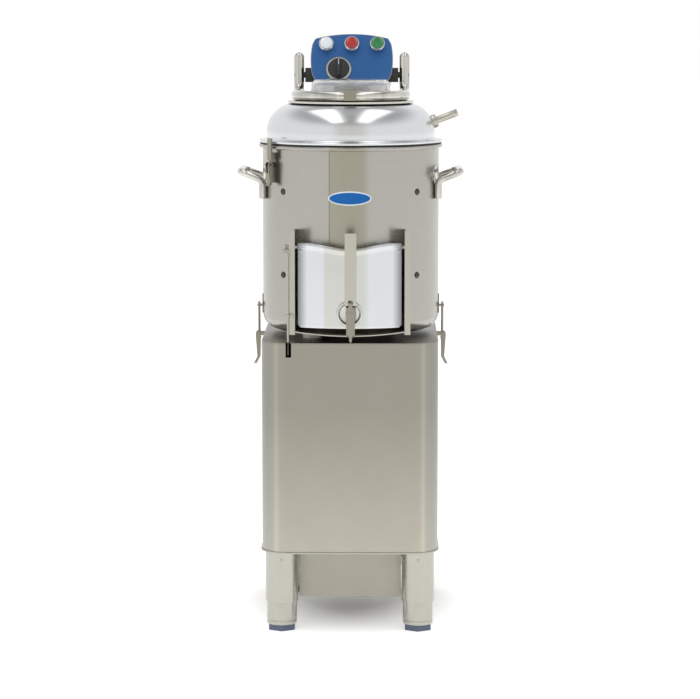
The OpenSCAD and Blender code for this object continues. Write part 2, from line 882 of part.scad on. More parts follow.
module carry_handles() {
    color("silver") for (side = [-1, 1]) mirrored(side) {
        for (y = [-handle_half_span, handle_half_span]) {
            bar([handle_x, y, handle_z], [handle_x, y, handle_bend_z], handle_r);
            bar([handle_x, y, handle_bend_z], [handle_reach, y, handle_grip_z], handle_r);
            translate([handle_x, y, handle_bend_z]) sphere(handle_knuckle_r);
            translate([handle_reach, y, handle_grip_z]) sphere(handle_knuckle_r);
        }
        translate([handle_reach, -handle_half_span, handle_grip_z]) rotate([-90, 0, 0])
            cylinder(h = 2 * handle_half_span, r = handle_r);
        for (a = [handle_turn, 180 - handle_turn]) turned(a) intersection() {
            drum_skin(tab_t);
            union() {
                to_front(0, -drum_r / 2, tab_z, drum_r, tab_r);
                block([-handle_r, -2 * drum_r, handle_bend_z], [handle_r, -drum_r / 2, tab_z]);
            }
        }
    }
}

// ---- Peeling plate and drive ----

module bearing_housing() {
    color("gray") difference() {
        union() {
            translate([0, 0, deck_top]) cylinder(h = drum_gap, r = housing_flange_r);
            translate([0, 0, deck_top - housing_drop]) cylinder(h = housing_drop, r = housing_r);
        }
        translate([0, 0, deck_top - housing_drop - 1])
            cylinder(h = housing_drop + drum_gap - 3, r = bearing_r);
        translate([0, 0, deck_top]) cylinder(h = drum_gap + 1, r = shaft_r + shaft_play);
    }
}

module bearings() {
    low = deck_top - housing_drop + 2;
    high = drum_z - 4 - seat - bearing_h;
    color("lightgray") for (z = [low, high]) translate([0, 0, z])
        tube(bearing_h, bearing_r - seat, shaft_r + fit);
}

module drive_shaft() {
    color("silver") {
        translate([0, 0, shaft_z]) cylinder(h = plate_top - shaft_z, r = shaft_r);
        translate([0, 0, plate_top - 1]) cylinder(h = stud_len + 1, r = stud_r);
    }
}

module abrasive_plate() {
    color("gray") translate([0, 0, plate_z]) tube(plate_t, plate_r, shaft_r + seat);
}

module plate_grit() {
    color("darkslategray") translate([0, 0, plate_top]) {
        tube(grit_t, plate_r, grit_in_r);
        for (a = [0, 120, 240]) rotate([0, 0, a]) intersection() {
            translate([0, 0, grit_t + ridge_h - ridge_r]) rotate([90, 0, 0])
                cylinder(h = plate_r * 0.94, r = ridge_r);
            block([-ridge_r, -plate_r * 0.94, grit_t / 2], [ridge_r, -2 * grit_in_r, grit_t + ridge_h + 1]);
        }
    }
}

module plate_nut() {
    color("silver") translate([0, 0, plate_top]) difference() {
        cylinder(h = nut_h, r = nut_r, $fn = 6);
        translate([0, 0, -1]) cylinder(h = nut_h + 2, r = stud_r + seat);
    }
}

module pulley(r, bore) {
    difference() {
        cylinder(h = pulley_h, r = r);
        translate([0, 0, -1]) cylinder(h = pulley_h + 2, r = bore);
        translate([0, 0, (pulley_h - belt_h) / 2 - 1]) tube(belt_h + 2, r + 1, r - groove);
    }
}

module drive_pulley() { color("gray") translate([0, 0, pulley_z]) pulley(big_pulley_r, shaft_r + seat); }

module motor_plate() {
    color("gray") difference() {
        union() {
            block(
                [-hanger_x, motor_y - motor_r - 5, motor_plate_z],
                [hanger_x, motor_y + motor_r + 5, motor_plate_top]
            );
            for (side = [-1, 1]) mirrored(side)
                block(
                    [hanger_x - hanger_t, motor_y - 55, motor_plate_z],
                    [hanger_x, motor_y + motor_r + 5, deck_z]
                );
        }
        translate([0, motor_y, motor_plate_z - 1]) cylinder(h = motor_plate_t + 2, r = motor_shaft_r + 1);
    }
}

module motor_housing() {
    color("slategray") translate([0, motor_y, motor_z]) difference() {
        union() {
            cylinder(h = motor_h, r = motor_r - 5);
            translate([0, 0, 20]) cylinder(h = motor_h - 40, r = motor_r);
        }
        translate([0, 0, motor_h - motor_shaft_len - 5]) cylinder(h = motor_h, r = motor_shaft_r + fit);
    }
}

module motor_pulley() {
    color("gray") translate([0, motor_y, 0]) {
        translate([0, 0, motor_plate_z - motor_shaft_len])
            cylinder(h = pulley_top - motor_plate_z + motor_shaft_len, r = motor_shaft_r);
        translate([0, 0, pulley_z]) pulley(small_pulley_r, motor_shaft_r + seat);
    }
}

// The loop around both pulleys, moved outwards by extra
module belt_loop(extra) {
    a = big_pulley_r - groove + gap + extra;
    b = small_pulley_r - groove + gap + extra;
    c = cos(belt_turn);
    s = sin(belt_turn);
    circle(a);
    translate([0, motor_y]) circle(b);
    polygon([[a * c, a * s], [b * c, motor_y + b * s], [-b * c, motor_y + b * s], [-a * c, a * s]]);
}

module drive_belt() {
    color("black") translate([0, 0, belt_z]) linear_extrude(belt_h) difference() {
        belt_loop(belt_t);
        belt_loop(0);
    }
}

// ---- Discharge chute and door ----

module chute_frame() {
    top = chute_z + chute_h;
    color("silver") difference() {
        union() {
            for (side = [-1, 1]) mirrored(side) {
                block([chute_in, -chute_front, chute_z], [chute_half_w, -drum_r / 2, top]);
                block(
                    [chute_half_w - 1, -chute_front, chute_z],
                    [chute_half_w + flange_w, chute_wall - chute_front, top - flange_w / 2]
                );
                to_front(
                    chute_half_w + flange_w / 2,
                    chute_wall - chute_front,
                    top - flange_w / 2,
                    chute_wall,
                    flange_w / 2
                );
            }
            intersection() {
                rotate([90, 0, 0]) translate([0, chute_z + lip_bend, 0]) difference() {
                    cylinder(h = lip_r + 10, r = lip_bend, $fn = 1440);
                    translate([0, 0, -1]) cylinder(h = lip_r + 12, r = lip_bend - chute_wall, $fn = 1440);
                }
                translate([0, 0, chute_z - 1]) cylinder(h = 40, r = lip_r);
                block([-chute_half_w, -lip_r, chute_z - 1], [chute_half_w, -drum_r / 2, chute_z + 20]);
            }
        }
        drum_round(seat);
        along_x(0, door_hinge_y, door_hinge_z, 2 * chute_half_w + 2, door_pin_r + fit);
    }
}

module discharge_door() {
    pin_reach = door_half + 1;
    color("whitesmoke") {
        intersection() {
            translate([0, 0, door_rim_z]) tube(door_rim_top - door_rim_z, door_r - 1, door_rim_r);
            difference() {
                block([-door_rim_half, -door_r, door_rim_z], [door_rim_half, 0, door_rim_top]);
                block(
                    [door_rim_t - door_rim_half, -door_r, door_rim_z + door_rim_t],
                    [door_rim_half - door_rim_t, 0, door_rim_top - door_rim_t]
                );
            }
        }
        difference() {
            union() {
                difference() {
                    translate([0, 0, door_z]) intersection() {
                        tube(door_h, door_r, door_r - door_t);
                        block([-door_half, -door_r, 0], [door_half, 0, door_h]);
                    }
                    to_front(0, 0, door_z + door_h - door_dip + dip_r, door_r + 1, dip_r, $fn = 1440);
                }
                for (side = [-1, 1]) mirrored(side) {
                    along_x(door_half - lug_len / 2, door_hinge_y, door_hinge_z, lug_len, lug_r);
                    intersection() {
                        block(
                            [door_half - lug_len, -door_r, door_hinge_z - lug_r],
                            [door_half, door_hinge_y, door_hinge_z + lug_r / 2]
                        );
                        cylinder(h = rim_z, r = door_r - 1);
                    }
                }
            }
            along_x(0, door_hinge_y, door_hinge_z, 2 * pin_reach, door_pin_r + seat);
        }
        intersection() {
            to_front(0, -door_r / 2, boss_z, door_r / 2 + boss_h, boss_r);
            translate([0, 0, door_z]) difference() {
                cylinder(h = door_h, r = door_r + boss_h * 2);
                translate([0, 0, -1]) cylinder(h = door_h + 2, r = door_r - door_t / 2);
            }
        }
    }
}

module door_pins() {
    lug_in = door_half - lug_len + 2;
    crank_y = -rod_front;
    crank_z = door_hinge_z - crank_drop;
    color("gray") {
        bar([lug_in, door_hinge_y, door_hinge_z], [chute_half_w + 4, door_hinge_y, door_hinge_z], door_pin_r);
        bar(
            [-lug_in, door_hinge_y, door_hinge_z],
            [-crank_x - crank_t, door_hinge_y, door_hinge_z],
            door_pin_r
        );
        translate([-crank_x - crank_t, 0, 0]) {
            along_x(crank_t / 2, door_hinge_y, door_hinge_z, crank_t, door_pin_r + 2);
            along_x(crank_t / 2, crank_y, crank_z, crank_t, crank_pin_r + 1);
            block([0, crank_y, crank_z - 2], [crank_t, door_hinge_y, crank_z + 2]);
            block([0, door_hinge_y - 3, crank_z], [crank_t, door_hinge_y + 3, door_hinge_z]);
        }
        bar([-crank_x - crank_t - 5, crank_y, crank_z], [2 - rod_x, crank_y, crank_z], crank_pin_r);
    }
}

module door_link() {
    face = -door_r - boss_h;
    front = lever_axis_y - lever_knuckle_r + 0.5;
    color("silver") translate([lever_x, 0, 0]) {
        block([-link_half, front, link_z], [link_half, face - 0.5, link_top]);
        to_front(0, face, boss_z, 1, 9);
        to_front(0, front, boss_z, front + lever_front, 5);
        block(
            [-tongue_half, front, link_top - 1],
            [tongue_half, lever_axis_y + lever_knuckle_r, lever_axis_z]
        );
        along_x(0, lever_axis_y, lever_axis_z, 2 * tongue_half, lever_knuckle_r);
        along_x(0, lever_axis_y, lever_axis_z, lever_w, lever_pin_r);
        translate([0, -lip_r - link_nut_r - 1.5, link_z - link_nut_h / 2])
            cylinder(h = link_nut_h, r = link_nut_r, $fn = 6);
        translate([0, -lip_r - link_nut_r - 1.5, link_z - 10]) cylinder(h = 11, r = 3);
        translate([0, -lip_r - link_nut_r - 1.5, link_z - 14]) cylinder(h = 4, r1 = 1, r2 = 3);
    }
}

module door_lever() {
    top = lever_axis_z + lever_len;
    fork_top = lever_axis_z + lever_knuckle_r + 2.5;
    color("silver") translate([lever_x, 0, 0]) difference() {
        union() {
            block([-lever_w / 2, -lever_front, lever_axis_z], [lever_w / 2, lever_t - lever_front, top]);
            along_x(0, lever_axis_y, lever_axis_z, lever_w, lever_knuckle_r);
        }
        block(
            [-tongue_half - gap, -lever_front - 1, lever_axis_z - lever_knuckle_r - 1],
            [tongue_half + gap, lever_axis_y + lever_knuckle_r + 1, fork_top]
        );
        along_x(0, lever_axis_y, lever_axis_z, lever_w + 2, lever_pin_r + fit);
    }
}

module switch_rod() {
    color("silver") translate([-rod_x, -rod_front, 0]) {
        translate([0, 0, rod_bottom]) cylinder(h = rod_top - rod_bottom, r = rod_r);
        translate([0, 0, rod_top - rod_head_h]) cylinder(h = rod_head_h, r = rod_head_r);
    }
}

module rod_guide() {
    color("gray") difference() {
        union() {
            translate([-rod_x, -rod_front, guide_z]) cylinder(h = guide_h, r = rod_r + 2);
            block(
                [-rod_x - 6, -rod_front, guide_z],
                [-chute_half_w - 1, -chute_front - seat, guide_z + guide_h]
            );
        }
        translate([-rod_x, -rod_front, guide_z - 1]) cylinder(h = guide_h + 2, r = rod_r + fit);
    }
}

module door_switch() {
    y = cabinet_wall - cabinet_front;
    color("dimgray")
        block(
            [switch_side - rod_x - switch_half, y, switch_top - switch_h],
            [switch_side - rod_x + switch_half, y + switch_depth, switch_top]
        );
}

// ---- Cover ----

module cover_bowl() {
    color("gainsboro") difference() {
        rotate_extrude() difference() {
            union() {
                translate([0, cover_z]) square([rim_r, cover_flange_t]);
                translate([0, cover_z]) square([cover_r, shoulder_z - cover_z]);
                intersection() {
                    translate([shoulder_x, shoulder_z]) circle(cover_shoulder_r);
                    translate([0, cover_z]) square([cover_r, cover_h]);
                }
                translate([0, shoulder_z - 1]) square([shoulder_x, cover_top - shoulder_z + 1]);
            }
            translate([0, cover_z - 1]) square([cover_r - cover_wall, shoulder_z - cover_z + 1]);
            intersection() {
                translate([shoulder_x, shoulder_z]) circle(cover_shoulder_r - cover_wall);
                translate([0, cover_z]) square([cover_r, cover_h]);
            }
            translate([0, cover_z - 1]) square([shoulder_x, cover_top - cover_wall - cover_z + 1]);
            translate([0, cover_z]) square([window_in_r, cover_h]);
        }
        inlet_place() cylinder(h = 40, r = inlet_collar_r + seat);
    }
}

// Runs along the inlet axis, from 20 mm inside the shoulder
module inlet_place() {
    translate([shoulder_x, 0, shoulder_z]) rotate([0, 90 - inlet_slope, 0])
        translate([0, 0, cover_shoulder_r - 20]) children();
}

module water_inlet() {
    color("silver") inlet_place() difference() {
        union() {
            translate([0, 0, 20 - cover_wall - 2]) cylinder(h = cover_wall + 10, r = inlet_collar_r);
            translate([0, 0, 20 - cover_wall - 2]) cylinder(h = cover_wall + 10 + inlet_len, r = inlet_r);
        }
        cylinder(h = inlet_len + 60, r = inlet_r - inlet_wall);
    }
}

module cover_gasket() {
    color("black") translate([0, 0, gasket_z]) tube(gasket_t, rim_r - 2, drum_in_r - 3);
}

module window_frame() {
    color("silver") {
        translate([0, 0, cover_top]) tube(frame_t, frame_r, window_in_r);
        block(
            [-clip_half, -window_r - seat - clip_t, frame_top - 1],
            [clip_half, -window_r - seat, clasp_top]
        );
        block([-clip_half, clasp_y, bail_z + bail_tube_r + seat], [clip_half, -window_r - seat, clasp_top]);
        block([-clip_half, clasp_y, bail_z - clasp_drop], [clip_half, clasp_y + clasp_t - seat, clasp_top]);
    }
}

module window_profile(inset) {
    r = window_r - inset;
    top = window_top - inset;
    k = window_shoulder_r - inset;
    translate([0, frame_top - 1]) square([r, top - frame_top - k + 1]);
    translate([0, frame_top - 1]) square([r - k, top - frame_top + 1]);
    translate([r - k, top - k]) circle(k);
}

module window() {
    color("azure", 0.4) rotate_extrude() difference() {
        intersection() {
            window_profile(0);
            translate([0, frame_top]) square([window_r, window_h]);
        }
        window_profile(window_wall);
    }
}

module cover_bail() {
    back = hinge_y - bail_bend_r;
    color("silver") difference() {
        union() {
            translate([0, 0, bail_z]) rotate([0, 0, 180]) bend(bail_r, bail_tube_r, 180);
            for (x = [-bail_r, bail_r]) {
                translate([x, 0, bail_z]) rotate([-90, 0, 0]) cylinder(h = back, r = bail_tube_r);
                translate([x, back, bail_z + bail_bend_r]) rotate([90, 0, 90]) rotate([0, 0, -90])
                    bend(bail_bend_r, bail_tube_r, 90);
                translate([x, hinge_y, bail_z + bail_bend_r])
                    cylinder(h = hinge_z + bail_rise - bail_z - bail_bend_r, r = bail_tube_r);
                translate([x, hinge_y, hinge_z + bail_rise]) sphere(bail_tube_r);
            }
        }
        along_x(0, hinge_y, hinge_z, 2 * bail_r + 4 * bail_tube_r, hinge_pin_r + fit);
    }
}

// ---- Controls ----

// The barrel outline of the control housing, moved inwards by inset
module barrel_outline(inset) {
    intersection() {
        translate([box_half_w - swell_r, 0]) circle(swell_r - inset, $fn = 720);
        translate([swell_r - box_half_w, 0]) circle(swell_r - inset, $fn = 720);
        translate([0, box_half_h - arch_r]) circle(arch_r - inset, $fn = 1440);
        translate([0, arch_r - box_half_h]) circle(arch_r - inset, $fn = 1440);
        circle(corner_reach - inset, $fn = 360);
    }
}

// The frame of the control panel, Y runs into the housing
module panel_place() { translate([0, box_y, panel_z]) rotate([-box_tilt, 0, 0]) children(); }

// A barrel prism from y1 to y2 in the frame of the panel
module barrel_prism(inset, y1, y2) {
    translate([0, y2, 0]) rotate([90, 0, 0]) linear_extrude(y2 - y1) barrel_outline(inset);
}

module housing_body() {
    intersection() {
        panel_place() barrel_prism(0, -panel_t, box_depth);
        block([-box_half_w * 2, 0, 0], [box_half_w * 2, box_back, panel_z * 2]);
    }
}

module control_housing() {
    color("lightgray") difference() {
        housing_body();
        panel_place() barrel_prism(panel_border - seat, -panel_t - 1, 0);
        intersection() {
            panel_place() barrel_prism(box_wall, -1, box_depth);
            block([-box_half_w * 2, 0, 0], [box_half_w * 2, box_back - box_wall, panel_z * 2]);
        }
    }
}

module control_panel() {
    color("royalblue") panel_place() difference() {
        barrel_prism(panel_border, -panel_t, 0);
        for (x = [-1, 0, 1] * button_pitch) to_front(x, 1, button_rise, panel_t + 2, barrel_r + seat);
        to_front(knob_x, 1, -knob_drop, panel_t + 2, knob_shaft_r + fit);
    }
}

module control_rings() {
    color("silver") panel_place() {
        for (x = [-1, 0, 1] * button_pitch) difference() {
            union() {
                to_front(x, -panel_t, button_rise, ring_h, ring_r);
                to_front(x, barrel_len, button_rise, barrel_len + panel_t, barrel_r);
            }
            to_front(x, -panel_t - ring_floor, button_rise, ring_h, cap_r + fit);
            to_front(x, barrel_len + 1, button_rise, barrel_len + ring_h, stem_r + fit);
        }
        difference() {
            to_front(knob_x, -panel_t, -knob_drop, 4, bezel_r);
            to_front(knob_x, 0, -knob_drop, 10, knob_r + gap);
        }
    }
}

module button(x) {
    panel_place() {
        to_front(x, -cap_back, button_rise, cap_t, cap_r);
        to_front(x, barrel_len - 2, button_rise, barrel_len - 2 + cap_back, stem_r);
    }
}

module pilot_lamp() { color("white") button(-button_pitch); }
module stop_button() { color("red") button(0); }
module start_button() { color("green") button(button_pitch); }

module timer_knob() {
    color("black") panel_place() {
        to_front(knob_x, barrel_len, -knob_drop, barrel_len + panel_t + 1, knob_shaft_r);
        to_front(knob_x, -panel_t - gap, -knob_drop, knob_skirt_h, knob_r);
        block(
            [knob_x - grip_t / 2, -panel_t - gap - knob_h, -knob_drop - knob_r * 0.9],
            [knob_x + grip_t / 2, -panel_t - gap - 1, knob_r * 0.9 - knob_drop]
        );
    }
}

module hinge_blocks() {
    half = hinge_block / 2;
    color("black") for (side = [-1, 1]) mirrored(side) {
        difference() {
            block(
                [box_half_w * 0.8, hinge_y - half, hinge_z - half],
                [hinge_block_x, hinge_y + half, hinge_z + half]
            );
            panel_place() barrel_prism(0, -box_depth, box_depth);
        }
        along_x(
            (hinge_block_x - 2 + bail_r + bail_tube_r - 1) / 2,
            hinge_y,
            hinge_z,
            bail_r + bail_tube_r + 1 - hinge_block_x,
            hinge_pin_r
        );
    }
}

module control_column() {
    y1 = rim_r + 7;
    y2 = cabinet_rear - 2;
    top = panel_z;
    color("silver") difference() {
        block([-column_half_w, y1, deck_top], [column_half_w, y2, top]);
        block(
            [column_wall - column_half_w, y1 + column_wall, deck_top - 1],
            [column_half_w - column_wall, y2 - column_wall, top + 1]
        );
        housing_clearance();
    }
}

// The housing with everything above it
module housing_clearance() {
    housing_body();
    block([-column_half_w - 1, rim_r, panel_z - box_half_h + 12], [column_half_w + 1, box_back, panel_z + 1]);
}

// ---- Latches ----

module toggle_bracket(face, p, pz) {
    for (s = [-1, 1]) mirrored(s) {
        block([arm_in, -p, pz - eye_r], [arm_in + arm_t, -face, pz + eye_r]);
        along_x(arm_in + arm_t / 2, -p, pz, arm_t, eye_r);
        along_x((arm_in + toggle_half_w + 1) / 2, -p, pz, toggle_half_w + 1 - arm_in, toggle_pin_r);
    }
}

// A side view in Y and Z, as wide as a toggle lever or one of its cheeks
module side_plate(x, w) {
    translate([x, 0, 0]) rotate([90, 0, 90]) linear_extrude(height = w, center = true) children();
}

// A toggle lever of channel section that tapers to a bent tip
module toggle_lever(p, pz, len, tip_len) {
    front = -p - eye_r - 1;
    back = pin_in + toggle_pin_r + cheek_edge - p;
    low = pz - len;
    heel = front + lever_taper;
    toe = heel - tip_len / 2;
    difference() {
        union() {
            for (s = [-1, 1]) mirrored(s) {
                along_x(toggle_half_w - cheek_t / 2, -p, pz, cheek_t, eye_r + 1);
                side_plate(toggle_half_w - cheek_t / 2, cheek_t) polygon([
                    [front + cheek_edge, pz],
                    [front + cheek_edge, pz - grip_drop],
                    [heel + cheek_edge, low],
                    [toe + cheek_edge, low - tip_len + cheek_edge],
                    [toe + cheek_low, low - tip_len + cheek_edge],
                    [heel + cheek_low, low],
                    [back, pz - grip_drop - pin_down],
                    [back, pz]
                ]);
            }
            side_plate(0, 2 * toggle_half_w) polygon([
                [front, pz - grip_drop],
                [heel, low],
                [toe, low - tip_len],
                [toe + lever_plate_t, low - tip_len],
                [heel + lever_plate_t, low],
                [front + lever_plate_t, pz - grip_drop]
            ]);
        }
        along_x(0, -p, pz, 3 * toggle_half_w, toggle_pin_r + fit);
        block([-lever_slot_half, -p - eye_r - 2, pz - slot_len], [lever_slot_half, -p, pz + eye_r]);
    }
    along_x(0, pin_in - p, pz - pin_down, 2 * toggle_half_w - cheek_t, toggle_pin_r);
}

module draw_eye(p, pz) {
    along_x(0, pin_in - p, pz - pin_down, 2 * arm_in - 0.6, eye_r - 0.2);
}

module eye_bore(p, pz) {
    along_x(0, pin_in - p, pz - pin_down, 3 * arm_in, toggle_pin_r + fit);
}

module latch_brackets() {
    color("silver") {
        for (a = [-90, 90]) turned(a) {
            toggle_bracket(cabinet_w / 2, side_p, side_pz);
            block(
                [-side_plate_half, -cabinet_w / 2 - 1.5, side_pz - side_plate_down],
                [side_plate_half, -cabinet_w / 2, deck_top]
            );
        }
        turned(-cover_latch_turn) {
            toggle_bracket(drum_r + seat, cover_p, cover_pz);
            intersection() {
                drum_skin(2.5);
                block(
                    [-side_plate_half, -rim_r, cover_pz - cover_plate_down],
                    [side_plate_half, 0, cover_pz + cover_plate_up]
                );
            }
        }
    }
}

module latch_keepers() {
    y = -drum_r - seat - 1.5;
    color("silver") for (a = [-90, 90]) turned(a) {
        block(
            [-t_bar_half, y, side_t_z - keeper_down],
            [t_bar_half, -drum_r - seat, side_t_z + keeper_up]
        );
        for (s = [-1, 1]) mirrored(s)
            block([lever_slot_half + 0.5, -side_p - 1.5, side_t_z - 6], [t_bar_half, y, side_t_z - 3]);
    }
}

module side_lever(a) { color("gray") turned(a) toggle_lever(side_p, side_pz, toggle_len, side_tip_len); }
module left_latch_lever() { side_lever(-90); }
module right_latch_lever() { side_lever(90); }

module draw_rod(a) {
    low = side_pz - pin_down;
    color("gray") turned(a) difference() {
        union() {
            draw_eye(side_p, side_pz);
            translate([0, pin_in - side_p, low]) cylinder(h = side_t_z - low, r = draw_rod_r);
            along_x(0, pin_in - side_p, side_t_z, 2 * t_bar_half, draw_rod_r);
        }
        eye_bore(side_p, side_pz);
    }
}

module left_draw_rod() { draw_rod(-90); }
module right_draw_rod() { draw_rod(90); }

module cover_latch_lever() {
    color("gray") turned(-cover_latch_turn)
        toggle_lever(cover_p, cover_pz, cover_toggle_len, cover_tip_len);
}

module cover_latch_hook() {
    low = cover_pz - pin_down;
    y = pin_in - cover_p;
    color("lightgray") turned(-cover_latch_turn) difference() {
        union() {
            draw_eye(cover_p, cover_pz);
            translate([0, y, low]) cylinder(h = 20, r = draw_rod_r);
            block([-hook_half_w, y - hook_t / 2, low + 17], [hook_half_w, y + hook_t / 2, rim_z + hook_rise]);
        }
        eye_bore(cover_p, cover_pz);
    }
}

foot_front_left();
foot_front_right();
foot_rear_left();
foot_rear_right();
legs();
stand_screws();
stand_plate();
filter_tray();
cabinet_shell();
cabinet_deck();
service_panel();
cable_gland();
drain_pipe();
drum_shell();
liner_panels();
liner_bolts();
badge_plate();
carry_handles();
bearing_housing();
bearings();
drive_shaft();
drive_pulley();
abrasive_plate();
plate_grit();
plate_nut();
motor_plate();
motor_housing();
motor_pulley();
drive_belt();
chute_frame();
discharge_door();
door_pins();
door_link();
door_lever();
switch_rod();
rod_guide();
door_switch();
cover_bowl();
cover_gasket();
window_frame();
window();
cover_bail();
water_inlet();
hinge_blocks();
control_column();
control_housing();
control_panel();
control_rings();
pilot_lamp();
stop_button();
start_button();
timer_knob();
latch_brackets();
latch_keepers();
cover_latch_lever();
cover_latch_hook();
left_latch_lever();
left_draw_rod();
right_latch_lever();
right_draw_rod();
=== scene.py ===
"""Electric potato peeler: looks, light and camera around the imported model."""

import json
import logging
import math
from dataclasses import dataclass, field
from enum import Enum
from typing import Iterable, Sequence, Union

import bmesh
import bpy
from mathutils import Matrix, Vector


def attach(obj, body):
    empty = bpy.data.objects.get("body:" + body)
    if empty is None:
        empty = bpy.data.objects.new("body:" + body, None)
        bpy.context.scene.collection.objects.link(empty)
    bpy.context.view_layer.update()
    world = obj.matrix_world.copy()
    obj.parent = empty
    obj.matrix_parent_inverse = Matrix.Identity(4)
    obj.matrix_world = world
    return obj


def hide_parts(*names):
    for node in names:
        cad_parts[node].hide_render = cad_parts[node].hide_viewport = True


LOG = logging.getLogger("peeler")
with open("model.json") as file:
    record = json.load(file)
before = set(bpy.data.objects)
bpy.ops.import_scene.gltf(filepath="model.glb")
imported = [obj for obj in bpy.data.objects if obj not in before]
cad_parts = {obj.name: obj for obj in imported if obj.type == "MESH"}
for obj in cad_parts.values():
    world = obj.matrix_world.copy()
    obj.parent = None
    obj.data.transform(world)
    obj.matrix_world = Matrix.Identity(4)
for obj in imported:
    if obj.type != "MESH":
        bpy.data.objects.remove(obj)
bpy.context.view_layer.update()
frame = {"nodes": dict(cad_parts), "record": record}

Point = tuple[float, float, float]
Colour = tuple[float, float, float]
Pair = tuple[float, float]
Value = Union[bpy.types.NodeSocket, float, Sequence[float]]

# The numbers of a Mix node's colour sockets.
MIX_SHARE, MIX_FIRST, MIX_SECOND, MIX_RESULT = 0, 6, 7, 2

WHITE: Colour = (1.0, 1.0, 1.0)
FORWARD = Vector((0.0, -1.0, 0.0))

# Points closer than this are one point, in a solid's copy and in a new shape.
WELD_COPY, WELD_SHAPE = 2e-6, 1e-6
# Faces that meet at less than this angle in degrees are one flat face.
FLAT_TURN = 0.4
# A drum's face points away from the axis when its normal agrees with the radius this well.
ROUND_SHARE = 0.985


def tone(red: int, green: int, blue: int) -> Colour:
    """Turn a display colour of 0 to 255 into the linear colour that a shader takes.

    Args:
        red: red, 0 to 255.
        green: green, 0 to 255.
        blue: blue, 0 to 255.

    Returns:
        The colour as three linear values from 0 to 1.
    """
    return tuple(
        v / 12.92 if v <= 0.04045 else ((v + 0.055) / 1.055) ** 2.4
        for v in (red / 255, green / 255, blue / 255)
    )


def scaled(colour: Colour, share: float, lift: float = 0.0) -> Colour:
    """Return a colour times a share, raised by a lift."""
    return tuple(c * share + lift for c in colour)


# ---- Finishes ----


class Grain(Enum):
    """The way the fine lines of a brushed surface run, as noise cells per metre along X, Y and Z."""

    LEVEL = (6.0, 6.0, 1500.0)
    UPRIGHT = (1500.0, 1500.0, 6.0)
    ACROSS = (6.0, 1500.0, 1500.0)
    EVEN = (1800.0, 1800.0, 1800.0)


class Cells(Enum):
    """How fine a noise is, as cells per metre along X, Y and Z."""

    STEEL_CLOUD = (7.0, 7.0, 5.0)
    STEEL_SMEAR = (26.0, 26.0, 19.0)
    # Soft upright stripes of painted reflection on steel.
    STEEL_REFLECTION_BANDS = (19.0, 19.0, 0.4)
    STEEL_DENTS = (11.0, 11.0, 9.0)
    SPUN_SMEAR = (20.0, 20.0, 16.0)
    PLASTIC_CLOUD = (30.0, 30.0, 30.0)
    PAINT_PEEL = (420.0, 420.0, 420.0)
    PAINT_CLOUD = (16.0, 16.0, 16.0)
    PAINT_SCUFF = (170.0, 170.0, 170.0)
    LENS_CLOUD = (90.0, 90.0, 90.0)
    LENS_SCUFF = (600.0, 600.0, 600.0)
    CLEAR_SCUFF = (160.0, 160.0, 160.0)
    GRIT_CLOUD = (40.0, 40.0, 40.0)
    PAPER = (300.0, 300.0, 300.0)


